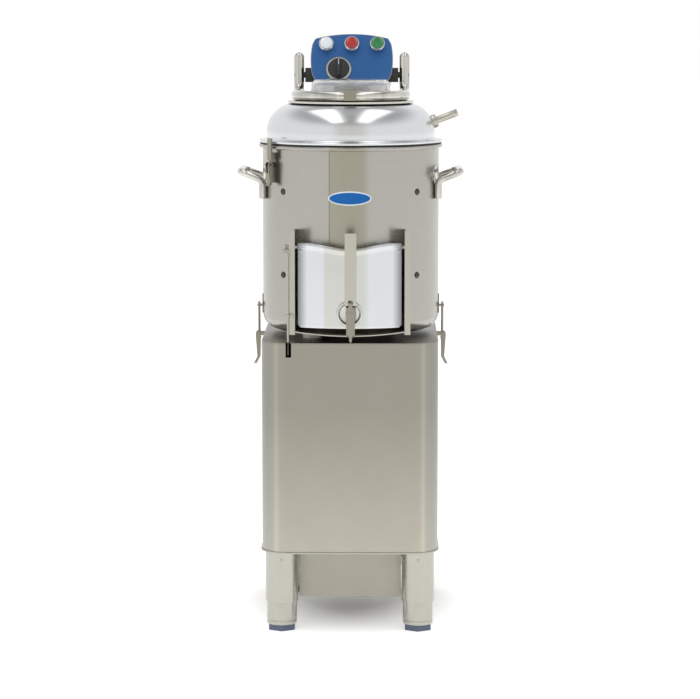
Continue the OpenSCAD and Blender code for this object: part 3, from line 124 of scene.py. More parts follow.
class Shader:
    """The node tree of one material, with short ways to add to it."""

    def __init__(self, name: str) -> None:
        """Make the material with its main shader and Object coordinates.

        Args:
            name: the material's name.
        """
        self.material = bpy.data.materials.new(name)
        self.material.use_nodes = True
        self.tree = self.material.node_tree
        self.main = self.tree.nodes["Principled BSDF"]
        self.place = self.tree.nodes.new("ShaderNodeTexCoord").outputs["Object"]

    def add(self, kind: str, values: dict | None = None, **settings) -> bpy.types.Node:
        """Add a node.

        Args:
            kind: the node's Blender type.
            values: what its sockets take: a number, a colour or another node's output.
            settings: the node's own options.

        Returns:
            The new node.
        """
        node = self.tree.nodes.new(kind)
        for key, value in settings.items():
            setattr(node, key, value)
        for key, value in (values or {}).items():
            self.put(node.inputs[key], value)
        return node

    def put(self, socket: bpy.types.NodeSocket, value: Value) -> None:
        """Link a socket to an output, or write a plain value on it.

        Args:
            socket: the socket that takes the value.
            value: a number, a colour or another node's output.
        """
        if isinstance(value, bpy.types.NodeSocket):
            self.tree.links.new(value, socket)
        elif isinstance(value, tuple) and len(value) == 3 and len(socket.default_value) == 4:
            socket.default_value = (*value, 1.0)
        else:
            socket.default_value = value

    def noise(self, scale: Point, detail: float = 3.0, rough: float = 0.55) -> bpy.types.NodeSocket:
        """Add a noise whose cells are scaled apart along each axis.

        Args:
            scale: cells per metre along X, Y and Z.
            detail: how many finer layers it has.
            rough: how strong each finer layer is.

        Returns:
            The noise's value.
        """
        mapping = self.add("ShaderNodeMapping", {"Vector": self.place, "Scale": tuple(scale)})
        texture = self.add(
            "ShaderNodeTexNoise",
            {"Vector": mapping.outputs[0], "Scale": 1.0, "Detail": detail, "Roughness": rough},
        )
        return texture.outputs["Fac"]

    def span(
        self, value: Value, low: float, high: float, start: float = 0.3, end: float = 0.7
    ) -> bpy.types.NodeSocket:
        """Map a value from one range to another.

        Args:
            value: the value to map.
            low: what start becomes.
            high: what end becomes.
            start: where the mapping starts. The default suits a noise.
            end: where it ends.

        Returns:
            The mapped value.
        """
        node = self.add(
            "ShaderNodeMapRange",
            {"Value": value, "From Min": start, "From Max": end, "To Min": low, "To Max": high},
        )
        return node.outputs["Result"]

    def calc(self, operation: str, first: Value, second: Value = 0.0) -> bpy.types.NodeSocket:
        """Return the result of a Math node on one or two values."""
        return self.add("ShaderNodeMath", {0: first, 1: second}, operation=operation).outputs[0]

    def mix(self, share: Value, first: Value, second: Value) -> bpy.types.NodeSocket:
        """Blend two colours.

        Args:
            share: how much of the second colour shows, from 0 to 1.
            first: the first colour.
            second: the second colour.

        Returns:
            The blended colour.
        """
        values = {MIX_SHARE: share, MIX_FIRST: first, MIX_SECOND: second}
        return self.add("ShaderNodeMix", values, data_type="RGBA").outputs[MIX_RESULT]

    def relief(
        self, height: Value, strength: float, depth: float, under: Value | None = None
    ) -> bpy.types.NodeSocket:
        """Bump the surface.

        Args:
            height: the height, from 0 to 1.
            strength: how strongly it shows.
            depth: what a height of 1 stands for, in metres.
            under: a bumped normal to start from, where there is one.

        Returns:
            The bumped normal.
        """
        values = {"Height": height, "Strength": strength, "Distance": depth}
        if under is not None:
            values["Normal"] = under
        return self.add("ShaderNodeBump", values).outputs["Normal"]

    def finish(self, **sockets) -> bpy.types.Material:
        """Write the main shader's sockets.

        Args:
            sockets: a value for each socket, named in words joined by an underscore.

        Returns:
            The finished material.
        """
        for key, value in sockets.items():
            self.put(self.main.inputs[key.replace("_", " ")], value)
        return self.material


@dataclass(frozen=True)
class Steel:
    """Brushed or polished bare metal with faint smears from handling.

    Soft upright stripes of painted reflection can run down it. Turned is the distance from the middle at
    which a curved sheet has reached its side tone, the share of each colour left there, as a painted
    reflection, with a painted highlight down its bend. As a painted reflection it can darken from a low place
    to a high one, keeping a given share there, and a warmer, darker stretch down its front between two edges
    loses a given share.
    """

    name: str
    colour: Colour
    shade: float = 0.86
    rough: float = 0.3
    spread: float = 0.1
    grain: Grain = Grain.LEVEL
    lines: float = 0.12
    line_depth: float = 0.0004
    dents: float = 0.0
    dent_depth: float = 0.01
    smears: Pair = (-0.02, 0.05)
    cloud_share: float = 0.45
    cloud_left: float = 0.93
    # Soft upright stripes of painted reflection.
    reflection_bands: float = 0.0
    # Painted reflection where a curved sheet turns to its sides, and a painted highlight down its bend.
    turned: float = 0.0
    side_reflection_tone: Colour = (0.2, 0.2, 0.2)
    side_reflection_fade: float = 0.02
    highlight_line: float = 0.0
    highlight_half: float = 0.007
    highlight_gain: float = 1.14
    # Painted reflection: the colour darkens from a low place to a high one.
    reflection_by_height: tuple[float, float, float] = (0.0, 0.0, 1.0)
    # A warmer, darker stretch of painted reflection down the front.
    reflection_strip: tuple[float, float, float] = (0.0, 0.0, 0.0)
    reflection_strip_fades: Pair = (0.004, 0.012)
    reflection_strip_front: Pair = (-0.05, -0.01)
    reflection_strip_warmth: Colour = (0.9, 0.95, 1.3)
    metal: float = 1.0

    def reflection_banded(self, s: Shader, colour: Value) -> bpy.types.NodeSocket:
        """Return a colour with soft upright stripes of painted reflection in it."""
        rolled = s.noise(Cells.STEEL_REFLECTION_BANDS.value, detail=3.0, rough=0.6)
        return s.mix(s.span(rolled, 0.0, 1.0, 0.4, 0.6), scaled(self.colour, 1.0 - self.reflection_bands), colour)

    def reflection_stripped(
        self, s: Shader, axes: Sequence[bpy.types.NodeSocket], colour: Value
    ) -> bpy.types.NodeSocket:
        """Lay a warmer, darker stretch of painted reflection down the front of a colour.

        Args:
            s: the material's shader.
            axes: the place on the surface, as X, Y and Z.
            colour: the colour so far.

        Returns:
            The colour with the painted reflection down its front.
        """
        left, right, loss = self.reflection_strip
        rise, fall = self.reflection_strip_fades
        begun = s.span(axes[0], 0.0, 1.0, left, left + rise)
        ended = s.span(axes[0], 1.0, 0.0, right - fall, right)
        inside = s.calc("MULTIPLY", begun, ended)
        ahead = s.calc("MULTIPLY", inside, s.span(axes[1], 1.0, 0.0, *self.reflection_strip_front))
        warm = tuple(c * (1.0 - loss * share) for c, share in zip(self.colour, self.reflection_strip_warmth))
        return s.mix(ahead, colour, warm)

    def bent(self, s: Shader, axes: Sequence[bpy.types.NodeSocket], colour: Value) -> bpy.types.NodeSocket:
        """Paint a reflection into a colour where a curved sheet turns to its sides, with a painted highlight
        down its bend.

        Args:
            s: the material's shader.
            axes: the place on the surface, as X, Y and Z.
            colour: the colour so far.

        Returns:
            The colour with the painted reflection and painted highlight.
        """
        away = s.calc("ABSOLUTE", axes[0])
        side = tuple(c * share for c, share in zip(self.colour, self.side_reflection_tone))
        colour = s.mix(s.span(away, 0.0, 1.0, self.turned - self.side_reflection_fade, self.turned), colour, side)
        if self.highlight_line:
            rise = s.span(away, 0.0, 1.0, self.highlight_line - self.highlight_half, self.highlight_line)
            fall = s.span(away, 1.0, 0.0, self.highlight_line, self.highlight_line + self.highlight_half)
            colour = s.mix(s.calc("MULTIPLY", rise, fall), colour, scaled(self.colour, self.highlight_gain))
        return colour

    def make(self) -> bpy.types.Material:
        """Build the material."""
        s = Shader(self.name)
        lines = s.noise(self.grain.value, detail=4.0, rough=0.7)
        cloud = s.noise(Cells.STEEL_CLOUD.value, detail=4.0)
        smear = s.noise(Cells.STEEL_SMEAR.value, detail=6.0, rough=0.6)
        axes = s.add("ShaderNodeSeparateXYZ", {0: s.place}).outputs
        streaked = s.mix(s.span(lines, 0.0, 1.0), scaled(self.colour, self.shade), self.colour)
        colour = s.mix(s.span(cloud, 0.0, self.cloud_share), streaked, scaled(self.colour, self.cloud_left))
        # Soft upright stripes of painted reflection.
        if self.reflection_bands:
            colour = self.reflection_banded(s, colour)
        # A warmer, darker stretch of painted reflection down the front.
        if self.reflection_strip[2]:
            colour = self.reflection_stripped(s, axes, colour)
        # Painted reflection towards the sides of a curved sheet, with a painted highlight down its bend.
        if self.turned:
            colour = self.bent(s, axes, colour)
        # Painted reflection: darker towards the top.
        low, high, share = self.reflection_by_height
        if share != 1.0:
            painted_darker_top = s.add("ShaderNodeVectorMath", {0: colour, "Scale": share}, operation="SCALE")
            colour = s.mix(s.span(axes[2], 0.0, 1.0, low, high), colour, painted_darker_top.outputs["Vector"])
        fine = s.span(lines, self.rough - self.spread / 2, self.rough + self.spread / 2)
        worn = s.calc("ADD", fine, s.span(smear, *self.smears))
        normal = s.relief(lines, self.lines, self.line_depth)
        if self.dents:
            wide = s.noise(Cells.STEEL_DENTS.value, detail=1.0)
            normal = s.relief(wide, self.dents, self.dent_depth, normal)
        return s.finish(Base_Color=colour, Metallic=self.metal, Roughness=worn, Normal=normal)


@dataclass(frozen=True)
class Spun:
    """Metal that was turned on a lathe: fine rings about an upright axis."""

    name: str
    colour: Colour
    shade: float = 0.88
    rough: float = 0.24
    spread: Pair = (-0.04, 0.05)
    smears: Pair = (-0.02, 0.06)
    rings: float = 900.0
    centre: Point = (0.0, 0.0, 0.0)
    lines: float = 0.1
    line_depth: float = 0.0003

    def make(self) -> bpy.types.Material:
        """Build the material."""
        s = Shader(self.name)
        shifted = s.add("ShaderNodeVectorMath", {0: s.place, 1: self.centre}, operation="SUBTRACT")
        parts = s.add("ShaderNodeSeparateXYZ", {0: shifted.outputs[0]})
        flat = s.add("ShaderNodeCombineXYZ", {0: parts.outputs[0], 1: parts.outputs[1]})
        radius = s.add("ShaderNodeVectorMath", {0: flat.outputs[0]}, operation="LENGTH")
        along = s.calc("SUBTRACT", radius.outputs["Value"], parts.outputs[2])
        rings = s.add(
            "ShaderNodeTexNoise",
            {"W": along, "Scale": self.rings, "Detail": 4.0, "Roughness": 0.7},
            noise_dimensions="1D",
        ).outputs["Fac"]
        smear = s.noise(Cells.SPUN_SMEAR.value, detail=6.0, rough=0.6)
        colour = s.mix(s.span(rings, 0.0, 1.0), scaled(self.colour, self.shade), self.colour)
        fine = s.span(rings, *(self.rough + step for step in self.spread))
        worn = s.calc("ADD", fine, s.span(smear, *self.smears))
        normal = s.relief(rings, self.lines, self.line_depth)
        return s.finish(Base_Color=colour, Metallic=1.0, Roughness=worn, Normal=normal)


@dataclass(frozen=True)
class Moulded:
    """Moulded plastic or rubber with a fine pebble and slight wear."""

    name: str
    colour: Colour
    cloud_share: float = 0.6
    cloud_left: float = 0.8
    cloud_lift: float = 0.012
    rough: float = 0.5
    spread: Pair = (-0.04, 0.04)
    wear: Pair = (-0.06, 0.08)
    pebble: float = 1400.0
    bump: float = 0.25
    bump_depth: float = 0.0002

    def make(self) -> bpy.types.Material:
        """Build the material."""
        s = Shader(self.name)
        pebble = s.noise((self.pebble,) * 3, detail=2.0)
        cloud = s.noise(Cells.PLASTIC_CLOUD.value, detail=4.0)
        faded = scaled(self.colour, self.cloud_left, self.cloud_lift)
        colour = s.mix(s.span(cloud, 0.0, self.cloud_share), self.colour, faded)
        fine = s.span(pebble, *(self.rough + step for step in self.spread))
        rough = s.calc("ADD", s.span(cloud, *self.wear), fine)
        return s.finish(
            Base_Color=colour, Roughness=rough, Normal=s.relief(pebble, self.bump, self.bump_depth)
        )


@dataclass(frozen=True)
class Painted:
    """Painted sheet metal with a light orange peel and a few pale scuffs."""

    name: str
    colour: Colour
    cloud_share: float = 0.5
    cloud_left: float = 0.88
    scuff_share: float = 0.4
    scuff_reach: Pair = (0.66, 0.74)
    scuff_left: float = 0.8
    scuff_lift: float = 0.08
    rough: float = 0.35
    spread: Pair = (-0.05, 0.08)
    coat: float = 0.25
    coat_rough: float = 0.15
    gloss: float = 0.25
    peel: float = 0.12
    peel_depth: float = 0.0003

    def make(self) -> bpy.types.Material:
        """Build the material."""
        s = Shader(self.name)
        peel = s.noise(Cells.PAINT_PEEL.value, detail=2.0)
        cloud = s.noise(Cells.PAINT_CLOUD.value, detail=5.0)
        scuff = s.noise(Cells.PAINT_SCUFF.value, detail=6.0, rough=0.7)
        faded = scaled(self.colour, self.cloud_left)
        colour = s.mix(s.span(cloud, 0.0, self.cloud_share), self.colour, faded)
        pale = scaled(self.colour, self.scuff_left, self.scuff_lift)
        worn = s.mix(s.span(scuff, 0.0, self.scuff_share, *self.scuff_reach), colour, pale)
        return s.finish(
            Base_Color=worn, Roughness=s.span(cloud, *(self.rough + step for step in self.spread)),
            Coat_Weight=self.coat, Coat_Roughness=self.coat_rough, Specular_IOR_Level=self.gloss,
            Normal=s.relief(peel, self.peel, self.peel_depth),
        )


@dataclass(frozen=True)
class Lens:
    """A clear or coloured plastic lens with a soft glow of its own colour under the surface."""

    name: str
    colour: Colour
    deep: Colour
    deep_share: float = 0.7
    rough: Pair = (0.12, 0.24)
    coat: float = 0.6
    coat_rough: float = 0.06
    glow: float = 0.15
    glow_depth: float = 0.004
    scuffs: float = 0.04
    scuff_depth: float = 0.0001

    def make(self) -> bpy.types.Material:
        """Build the material."""
        s = Shader(self.name)
        cloud = s.noise(Cells.LENS_CLOUD.value, detail=4.0)
        scuff = s.noise(Cells.LENS_SCUFF.value, detail=3.0)
        return s.finish(
            Base_Color=s.mix(s.span(cloud, 0.0, self.deep_share), self.colour, self.deep),
            Roughness=s.span(scuff, *self.rough), Coat_Weight=self.coat, Coat_Roughness=self.coat_rough,
            Subsurface_Weight=self.glow, Subsurface_Scale=self.glow_depth,
            Normal=s.relief(scuff, self.scuffs, self.scuff_depth),
        )


@dataclass(frozen=True)
class Clear:
    """Clear plastic with a faint tint, a slight haze and fine scuffs."""

    name: str
    colour: Colour = (0.95, 0.96, 0.96)
    scuff_share: float = 0.5
    scuff_left: float = 0.96
    rough: Pair = (0.02, 0.08)
    clearness: float = 0.78
    bending: float = 1.46
    scuffs: float = 0.01
    scuff_depth: float = 0.0001

    def make(self) -> bpy.types.Material:
        """Build the material."""
        s = Shader(self.name)
        scuff = s.noise(Cells.CLEAR_SCUFF.value, detail=6.0, rough=0.7)
        return s.finish(
            Base_Color=s.mix(
                s.span(scuff, 0.0, self.scuff_share), self.colour, scaled(self.colour, self.scuff_left)
            ),
            Roughness=s.span(scuff, *self.rough), Transmission_Weight=self.clearness, IOR=self.bending,
            Normal=s.relief(scuff, self.scuffs, self.scuff_depth),
        )


@dataclass(frozen=True)
class Grit:
    """Dark abrasive grains in a hard resin."""

    name: str
    colour: Colour
    grains: float = 650.0
    grain_reach: Pair = (0.1, 0.6)
    grain_gain: float = 1.7
    cloud_share: float = 0.5
    cloud_left: float = 0.6
    rough: Pair = (0.6, 0.9)
    bump: float = 0.9
    bump_depth: float = 0.001

    def make(self) -> bpy.types.Material:
        """Build the material."""
        s = Shader(self.name)
        cells = s.add(
            "ShaderNodeTexVoronoi", {"Vector": s.place, "Scale": self.grains, "Randomness": 1.0}
        ).outputs["Distance"]
        cloud = s.noise(Cells.GRIT_CLOUD.value, detail=6.0)
        pale = scaled(self.colour, self.grain_gain)
        colour = s.mix(s.span(cells, 0.0, 1.0, *self.grain_reach), pale, self.colour)
        dark = scaled(self.colour, self.cloud_left)
        return s.finish(
            Base_Color=s.mix(s.span(cloud, 0.0, self.cloud_share), colour, dark),
            Roughness=s.span(cells, *self.rough), Normal=s.relief(cells, self.bump, self.bump_depth),
        )


FINISHES: dict[str, bpy.types.Material] = {
    made.name: made.make()
    for made in (
        # Painted reflection on the drum: soft upright stripes and a warmer, darker stretch down its front.
        Steel(
            "drum_steel", tone(175, 173, 166), rough=0.27, spread=0.05, lines=0.03, reflection_bands=0.08,
            reflection_strip=(-0.0415, 0.037, 0.24),
        ),
        # Painted reflection on the cabinet: darker, cooler sides, a painted highlight down each bend, darker
        # towards the top.
        Steel(
            "cabinet_steel", tone(178, 174, 162), shade=0.95, rough=0.36, grain=Grain.UPRIGHT, lines=0.05,
            turned=0.155, side_reflection_tone=(0.88, 0.92, 0.96), highlight_line=0.139, reflection_by_height=(0.155, 0.43, 0.7),
        ),
        Steel("leg_steel", tone(186, 184, 174), rough=0.26),
        Steel("seam_steel", tone(140, 136, 122), rough=0.4, lines=0.05),
        Steel("tray_steel", tone(163, 160, 149), rough=0.34, grain=Grain.ACROSS),
        Steel("plate_steel", tone(184, 182, 172), rough=0.36, grain=Grain.EVEN, lines=0.05),
        Steel("small_steel", tone(176, 175, 164), rough=0.3, grain=Grain.EVEN, lines=0.04),
        Steel("lever_steel", tone(188, 187, 175), rough=0.34, grain=Grain.UPRIGHT, lines=0.05),
        Steel("latch_steel", tone(150, 147, 134), rough=0.3, grain=Grain.EVEN, lines=0.04),
        # Dark steel, also used as painted shade on the switch rod inside the cabinet's slot.
        Steel("dark_steel_and_painted_shade", tone(92, 89, 80), rough=0.4, grain=Grain.EVEN, lines=0.05),
        Steel("bright_steel", tone(206, 205, 198), rough=0.13, spread=0.04, grain=Grain.EVEN, lines=0.015),
        # Painted reflection on the door: soft upright stripes, dark sides and a warmer, darker stretch down
        # its front.
        Steel(
            "door_polish", tone(214, 216, 219), rough=0.16, spread=0.05, grain=Grain.EVEN, lines=0.015,
            dents=0.12, reflection_bands=0.08, turned=0.1, reflection_strip=(-0.05, 0.038, 0.2),
        ),
        # Painted reflection on the tubes: strong soft upright stripes.
        Steel(
            "tube_steel", tone(212, 210, 203), rough=0.12, spread=0.04, grain=Grain.EVEN, lines=0.015,
            reflection_bands=0.35,
        ),
        Steel("chrome", tone(224, 228, 230), rough=0.08, spread=0.03, grain=Grain.EVEN, lines=0.01),
        Steel("bezel_satin", tone(178, 180, 178), rough=0.36, grain=Grain.EVEN, lines=0.08),
        Steel("cast_metal", tone(120, 122, 122), rough=0.55, grain=Grain.EVEN, lines=0.5, metal=0.8),
        Spun("cover_spun", tone(220, 222, 225), rough=0.17, lines=0.03),
        Spun("plate_spun", tone(188, 188, 184), rough=0.3),
        Moulded("foot_plastic", tone(96, 106, 130), rough=0.45),
        Moulded("black_plastic", tone(34, 35, 36), rough=0.42),
        Moulded("black_rubber", tone(26, 26, 27), rough=0.7, bump=0.4),
        Painted("panel_blue", tone(49, 101, 163), rough=0.5, coat=0.0),
        Painted("badge_blue", tone(16, 104, 182), rough=0.45, coat=0.0),
        Painted("badge_white", tone(232, 238, 244), rough=0.3, coat=0.3),
        Painted("motor_grey", tone(92, 100, 108), rough=0.5, coat=0.0),
        Lens("lamp_white", tone(240, 246, 250), tone(224, 234, 242)),
        Lens("stop_red", tone(196, 50, 52), tone(150, 24, 28)),
        Lens("start_green", tone(38, 144, 82), tone(18, 106, 56)),
        Clear("window_clear"),
        Grit("abrasive", tone(84, 84, 82)),
    )
}

NODE_FINISH: dict[str, str] = {
    node: finish
    for finish, nodes in {
        "foot_plastic": ("foot_front_left", "foot_front_right", "foot_rear_left", "foot_rear_right"),
        "leg_steel": ("legs",),
        "plate_steel": ("stand_plate", "chute_frame", "drain_pipe"),
        "tray_steel": ("filter_tray",),
        "cabinet_steel": ("cabinet_shell", "cabinet_deck", "service_panel"),
        "drum_steel": ("drum_shell", "control_column", "water_inlet", "control_housing"),
        "black_rubber": ("cable_gland", "drive_belt", "cover_gasket"),
        "abrasive": ("liner_panels", "plate_grit"),
        "badge_blue": ("badge_plate",),
        "bright_steel": ("carry_handles", "window_frame", "cover_bail"),
        "cast_metal": ("bearing_housing", "motor_plate", "drive_pulley", "motor_pulley"),
        "motor_grey": ("motor_housing",),
        "small_steel": (
            "bearings", "drive_shaft", "plate_nut", "stand_screws", "liner_bolts",
            "door_pins", "switch_rod", "rod_guide",
        ),
        "lever_steel": ("door_lever",),
        "plate_spun": ("abrasive_plate",),
        "cover_spun": ("cover_bowl",),
        "door_polish": ("discharge_door",),
        "black_plastic": ("door_switch", "timer_knob", "hinge_blocks"),
        "window_clear": ("window",),
        "panel_blue": ("control_panel",),
        "chrome": ("control_rings",),
        "lamp_white": ("pilot_lamp",),
        "stop_red": ("stop_button",),
        "start_green": ("start_button",),
        "latch_steel": (
            "door_link", "latch_brackets", "latch_keepers", "cover_latch_lever", "cover_latch_hook",
            "left_latch_lever", "left_draw_rod", "right_latch_lever", "right_draw_rod",
        ),
    }.items()
    for node in nodes
}


# ---- Shaping ----


def place_piece(
    name: str, shape: bmesh.types.BMesh, finish: str, body: str, nodes: Iterable[str] = (), turn: float = 35.0
) -> bpy.types.Object:
    """Turn a finished shape into a piece of the scene.

    Args:
        name: the piece's name.
        shape: the shape, in metres and in its place. It is freed.
        finish: the name of its finish.
        body: the body it moves with.
        nodes: the solids that it stands for.
        turn: the angle in degrees over which an edge stays sharp.

    Returns:
        The new object.
    """
    mesh = bpy.data.meshes.new(name)
    shape.to_mesh(mesh)
    shape.free()
    mesh.materials.append(FINISHES[finish])
    mesh.polygons.foreach_set("use_smooth", [True] * len(mesh.polygons))
    mesh.set_sharp_from_angle(angle=math.radians(turn))
    piece = bpy.data.objects.new(name, mesh)
    bpy.context.scene.collection.objects.link(piece)
    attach(piece, body)
    nodes = list(nodes)
    if nodes:
        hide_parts(*nodes)
    LOG.info("%s: %d faces on %s", name, len(mesh.polygons), body)
    return piece


def merged(node: str) -> bmesh.types.BMesh:
    """Copy a solid's mesh, with its points merged and its flat faces joined.

    Args:
        node: the solid's name.

    Returns:
        The copy.
    """
    shape = bmesh.new()
    shape.from_mesh(frame["nodes"][node].data)
    bmesh.ops.remove_doubles(shape, verts=shape.verts, dist=WELD_COPY)
    bmesh.ops.dissolve_limit(
        shape, angle_limit=math.radians(FLAT_TURN), verts=shape.verts[:], edges=shape.edges[:]
    )
    return shape


def bevelled(
    shape: bmesh.types.BMesh, edges: list[bmesh.types.BMEdge], width: float, segments: int
) -> bmesh.types.BMesh:
    """Round some edges of a shape by a width, in a number of steps, and return the shape."""
    bmesh.ops.bevel(
        shape, geom=edges, offset=width, offset_type="OFFSET", affect="EDGES",
        segments=segments, profile=0.5, material=-1, clamp_overlap=True,
    )
    return shape


def eased(shape: bmesh.types.BMesh, width: float, turn: float = 40.0, segments: int = 2) -> bmesh.types.BMesh:
    """Round the sharp edges of a shape by a small width.

    Args:
        shape: the shape. It is changed.
        width: how far the rounding reaches from the edge.
        turn: the angle in degrees between two faces over which their edge is sharp.
        segments: how many steps the rounding has.

    Returns:
        The same shape.
    """
    sharp = [
        e for e in shape.edges
        if len(e.link_faces) == 2 and e.calc_face_angle(0.0) > math.radians(turn)
    ]
    return bevelled(shape, sharp, width, segments)


def fans(vert: bmesh.types.BMVert) -> list[list[bmesh.types.BMLoop]]:
    """Sort the face corners at a point into groups that no sharp edge parts.

    Args:
        vert: the point.

    Returns:
        The groups of corners.
    """
    left, groups = set(vert.link_loops), []
    while left:
        group = [left.pop()]
        for corner in group:
            for edge in (corner.edge, corner.link_loop_prev.edge):
                if not edge.smooth or len(edge.link_faces) != 2:
                    continue
                for other in edge.link_loops:
                    mate = other if other.vert == vert else other.link_loop_next
                    if mate in left:
                        left.remove(mate)
                        group.append(mate)
        groups.append(group)
    return groups


def settled(piece: bpy.types.Object, drum: bool = False) -> bpy.types.Object:
    """Let a piece's normals follow the largest faces round each corner, so that flat sheets look flat.

    Args:
        piece: the piece to change.
        drum: whether its upright round faces turn about the Z axis, and take the true normals of that drum.

    Returns:
        The same piece.
    """
    shape = bmesh.new()
    shape.from_mesh(piece.data)
    normals: list[Vector] = []
    for face in shape.faces:
        for corner in face.loops:
            corner.index = len(normals)
            normals.append(face.normal)
    weight = {face.index: face.normal * face.calc_area() for face in shape.faces}
    for vert in shape.verts:
        for group in fans(vert):
            total = sum((weight[corner.face.index] for corner in group), Vector())
            for corner in group if total.length > 0.0 else ():
                normals[corner.index] = total.normalized()
    if drum:
        for face in shape.faces:
            out = Vector((*face.calc_center_median().xy, 0.0)).normalized()
            if abs(face.normal.dot(out)) > ROUND_SHARE:
                side = math.copysign(1.0, face.normal.dot(out))
                for corner in face.loops:
                    normals[corner.index] = Vector((*corner.vert.co.xy, 0.0)).normalized() * side
    shape.free()
    piece.data.normals_split_custom_set([tuple(n) for n in normals])
    return piece


def refinish(piece: bpy.types.Object, finish: str, low: Point, high: Point) -> None:
    """Give the faces of a piece whose middles lie in a box another finish.

    Args:
        piece: the piece to change.
        finish: the name of the other finish.
        low: the box's low corner.
        high: the box's high corner.
    """
    piece.data.materials.append(FINISHES[finish])
    for face in piece.data.polygons:
        if all(a <= c <= b for a, c, b in zip(low, face.center, high)):
            face.material_index = 1


def body_of(node: str) -> str:
    """Return the name of the body that a solid belongs to."""
    return next(b for b, members in frame["record"]["behaviour"]["bodies"].items() if node in members)


def dressed(node: str, shape: bmesh.types.BMesh, drum: bool = False) -> bpy.types.Object:
    """Place a changed copy of a solid, in the solid's own finish and on its body.

    Args:
        node: the solid's name.
        shape: the changed copy. It is freed.
        drum: whether its round faces take the true normals of the drum.

    Returns:
        The new object.
    """
    return settled(place_piece(f"{node}_eased", shape, NODE_FINISH[node], body_of(node), [node]), drum)


def eased_copy(node: str, width: float, turn: float = 40.0, drum: bool = False) -> bpy.types.Object:
    """Put a copy of a solid with rounded edges in its place.

    Args:
        node: the solid's name.
        width: how far the rounding reaches from each sharp edge.
        turn: the angle in degrees over which an edge is rounded.
        drum: whether its round faces take the true normals of the drum.

    Returns:
        The new object.
    """
    return dressed(node, eased(merged(node), width, turn), drum)


def arc(across: float, up: float, radius: float, start: float, end: float, steps: int = 12) -> list[Pair]:
    """Return points on an arc in a side view.

    Args:
        across: where the centre is, outwards from the axis.
        up: the centre's height.
        radius: the arc's radius.
        start: the first angle in degrees, 0 outwards and 90 up.
        end: the last angle in degrees.
        steps: how many pieces the arc has.

    Returns:
        The points as pairs of radius and height.
    """
    turns = [math.radians(start + (end - start) * i / steps) for i in range(steps + 1)]
    return [(across + radius * math.cos(t), up + radius * math.sin(t)) for t in turns]


def spun(profile: Sequence[Pair], steps: int = 128, closed: bool = True) -> bmesh.types.BMesh:
    """Spin a side view about the Z axis.

    Args:
        profile: pairs of radius and height.
        steps: how many pieces the circle has.
        closed: whether the last point joins the first one.

    Returns:
        The spun shape, with its faces pointing outwards.
    """
    shape = bmesh.new()
    points = [shape.verts.new((r, 0.0, z)) for r, z in profile]
    for first, second in zip(points, points[1:] + ([points[0]] if closed else [])):
        shape.edges.new((first, second))
    bmesh.ops.spin(
        shape, geom=shape.verts[:] + shape.edges[:], cent=(0.0, 0.0, 0.0), axis=(0.0, 0.0, 1.0),
        angle=math.tau, steps=steps, use_merge=True, use_duplicate=False,
    )
    bmesh.ops.remove_doubles(shape, verts=shape.verts, dist=WELD_SHAPE)
    bmesh.ops.recalc_face_normals(shape, faces=shape.faces)
    return shape


def moved(shape: bmesh.types.BMesh, matrix: Matrix) -> bmesh.types.BMesh:
    """Move a shape by a matrix and return it."""
    bmesh.ops.transform(shape, matrix=matrix, verts=shape.verts)
    return shape


def flipped(shape: bmesh.types.BMesh) -> bmesh.types.BMesh:
    """Mirror a shape from the right side to the left and return it, with its faces pointing outwards."""
    moved(shape, Matrix.Diagonal((-1.0, 1.0, 1.0, 1.0)))
    bmesh.ops.reverse_faces(shape, faces=shape.faces)
    return shape


def sliced(shape: bmesh.types.BMesh, place: Point, across: Point) -> bmesh.types.BMesh:
    """Cut the faces of a shape along a plane through a place, square to a direction, and return it."""
    whole = shape.verts[:] + shape.edges[:] + shape.faces[:]
    bmesh.ops.bisect_plane(shape, geom=whole, plane_co=place, plane_no=across)
    return shape


def points_in(grown: Iterable[object]) -> list[bmesh.types.BMVert]:
    """Return the points among the things that an operator made."""
    return [g for g in grown if isinstance(g, bmesh.types.BMVert)]


def edges_in(grown: Iterable[object]) -> list[bmesh.types.BMEdge]:
    """Return the edges among the things that an operator made."""
    return [g for g in grown if isinstance(g, bmesh.types.BMEdge)]


def joined(*shapes: bmesh.types.BMesh) -> bmesh.types.BMesh:
    """Put several shapes into the first one.

    Args:
        shapes: the shapes. All but the first are freed.

    Returns:
        The first shape.
    """
    whole = shapes[0]
    for shape in shapes[1:]:
        mesh = bpy.data.meshes.new("part")
        shape.to_mesh(mesh)
        shape.free()
        whole.from_mesh(mesh)
        bpy.data.meshes.remove(mesh)
    return whole


def islands(shape: bmesh.types.BMesh) -> list[list[bmesh.types.BMVert]]:
    """Sort the points of a shape by its loose parts.

    Args:
        shape: the shape.

    Returns:
        The points of each loose part.
    """
    left, parts = set(shape.verts), []
    while left:
        reach, part = [left.pop()], []
        while reach:
            vert = reach.pop()
            part.append(vert)
            fresh = {e.other_vert(vert) for e in vert.link_edges} & left
            left -= fresh
            reach.extend(fresh)
        parts.append(part)
    return parts


def middle(part: list[bmesh.types.BMVert]) -> Vector:
    """Return the middle of the box round some points."""
    low = Vector([min(v.co[i] for v in part) for i in range(3)])
    high = Vector([max(v.co[i] for v in part) for i in range(3)])
    return (low + high) / 2


def facing(centre: Point, outward: Vector) -> Matrix:
    """Return the matrix that takes +Z to a direction and the origin to a centre."""
    return Matrix.Translation(centre) @ outward.to_track_quat("Z", "Y").to_matrix().to_4x4()


def brick(low: Point, high: Point, ease: float = 0.0) -> bmesh.types.BMesh:
    """Make a block between two corners.

    Args:
        low: the low corner.
        high: the high corner.
        ease: how far its edges are rounded.

    Returns:
        The block.
    """
    shape = bmesh.new()
    bmesh.ops.create_cube(shape, size=1.0)
    centre = (Vector(low) + Vector(high)) / 2
    size = Vector(high) - Vector(low)
    moved(shape, Matrix.Translation(centre) @ Matrix.Diagonal((*size, 1.0)))
    return eased(shape, ease, segments=3) if ease else shape


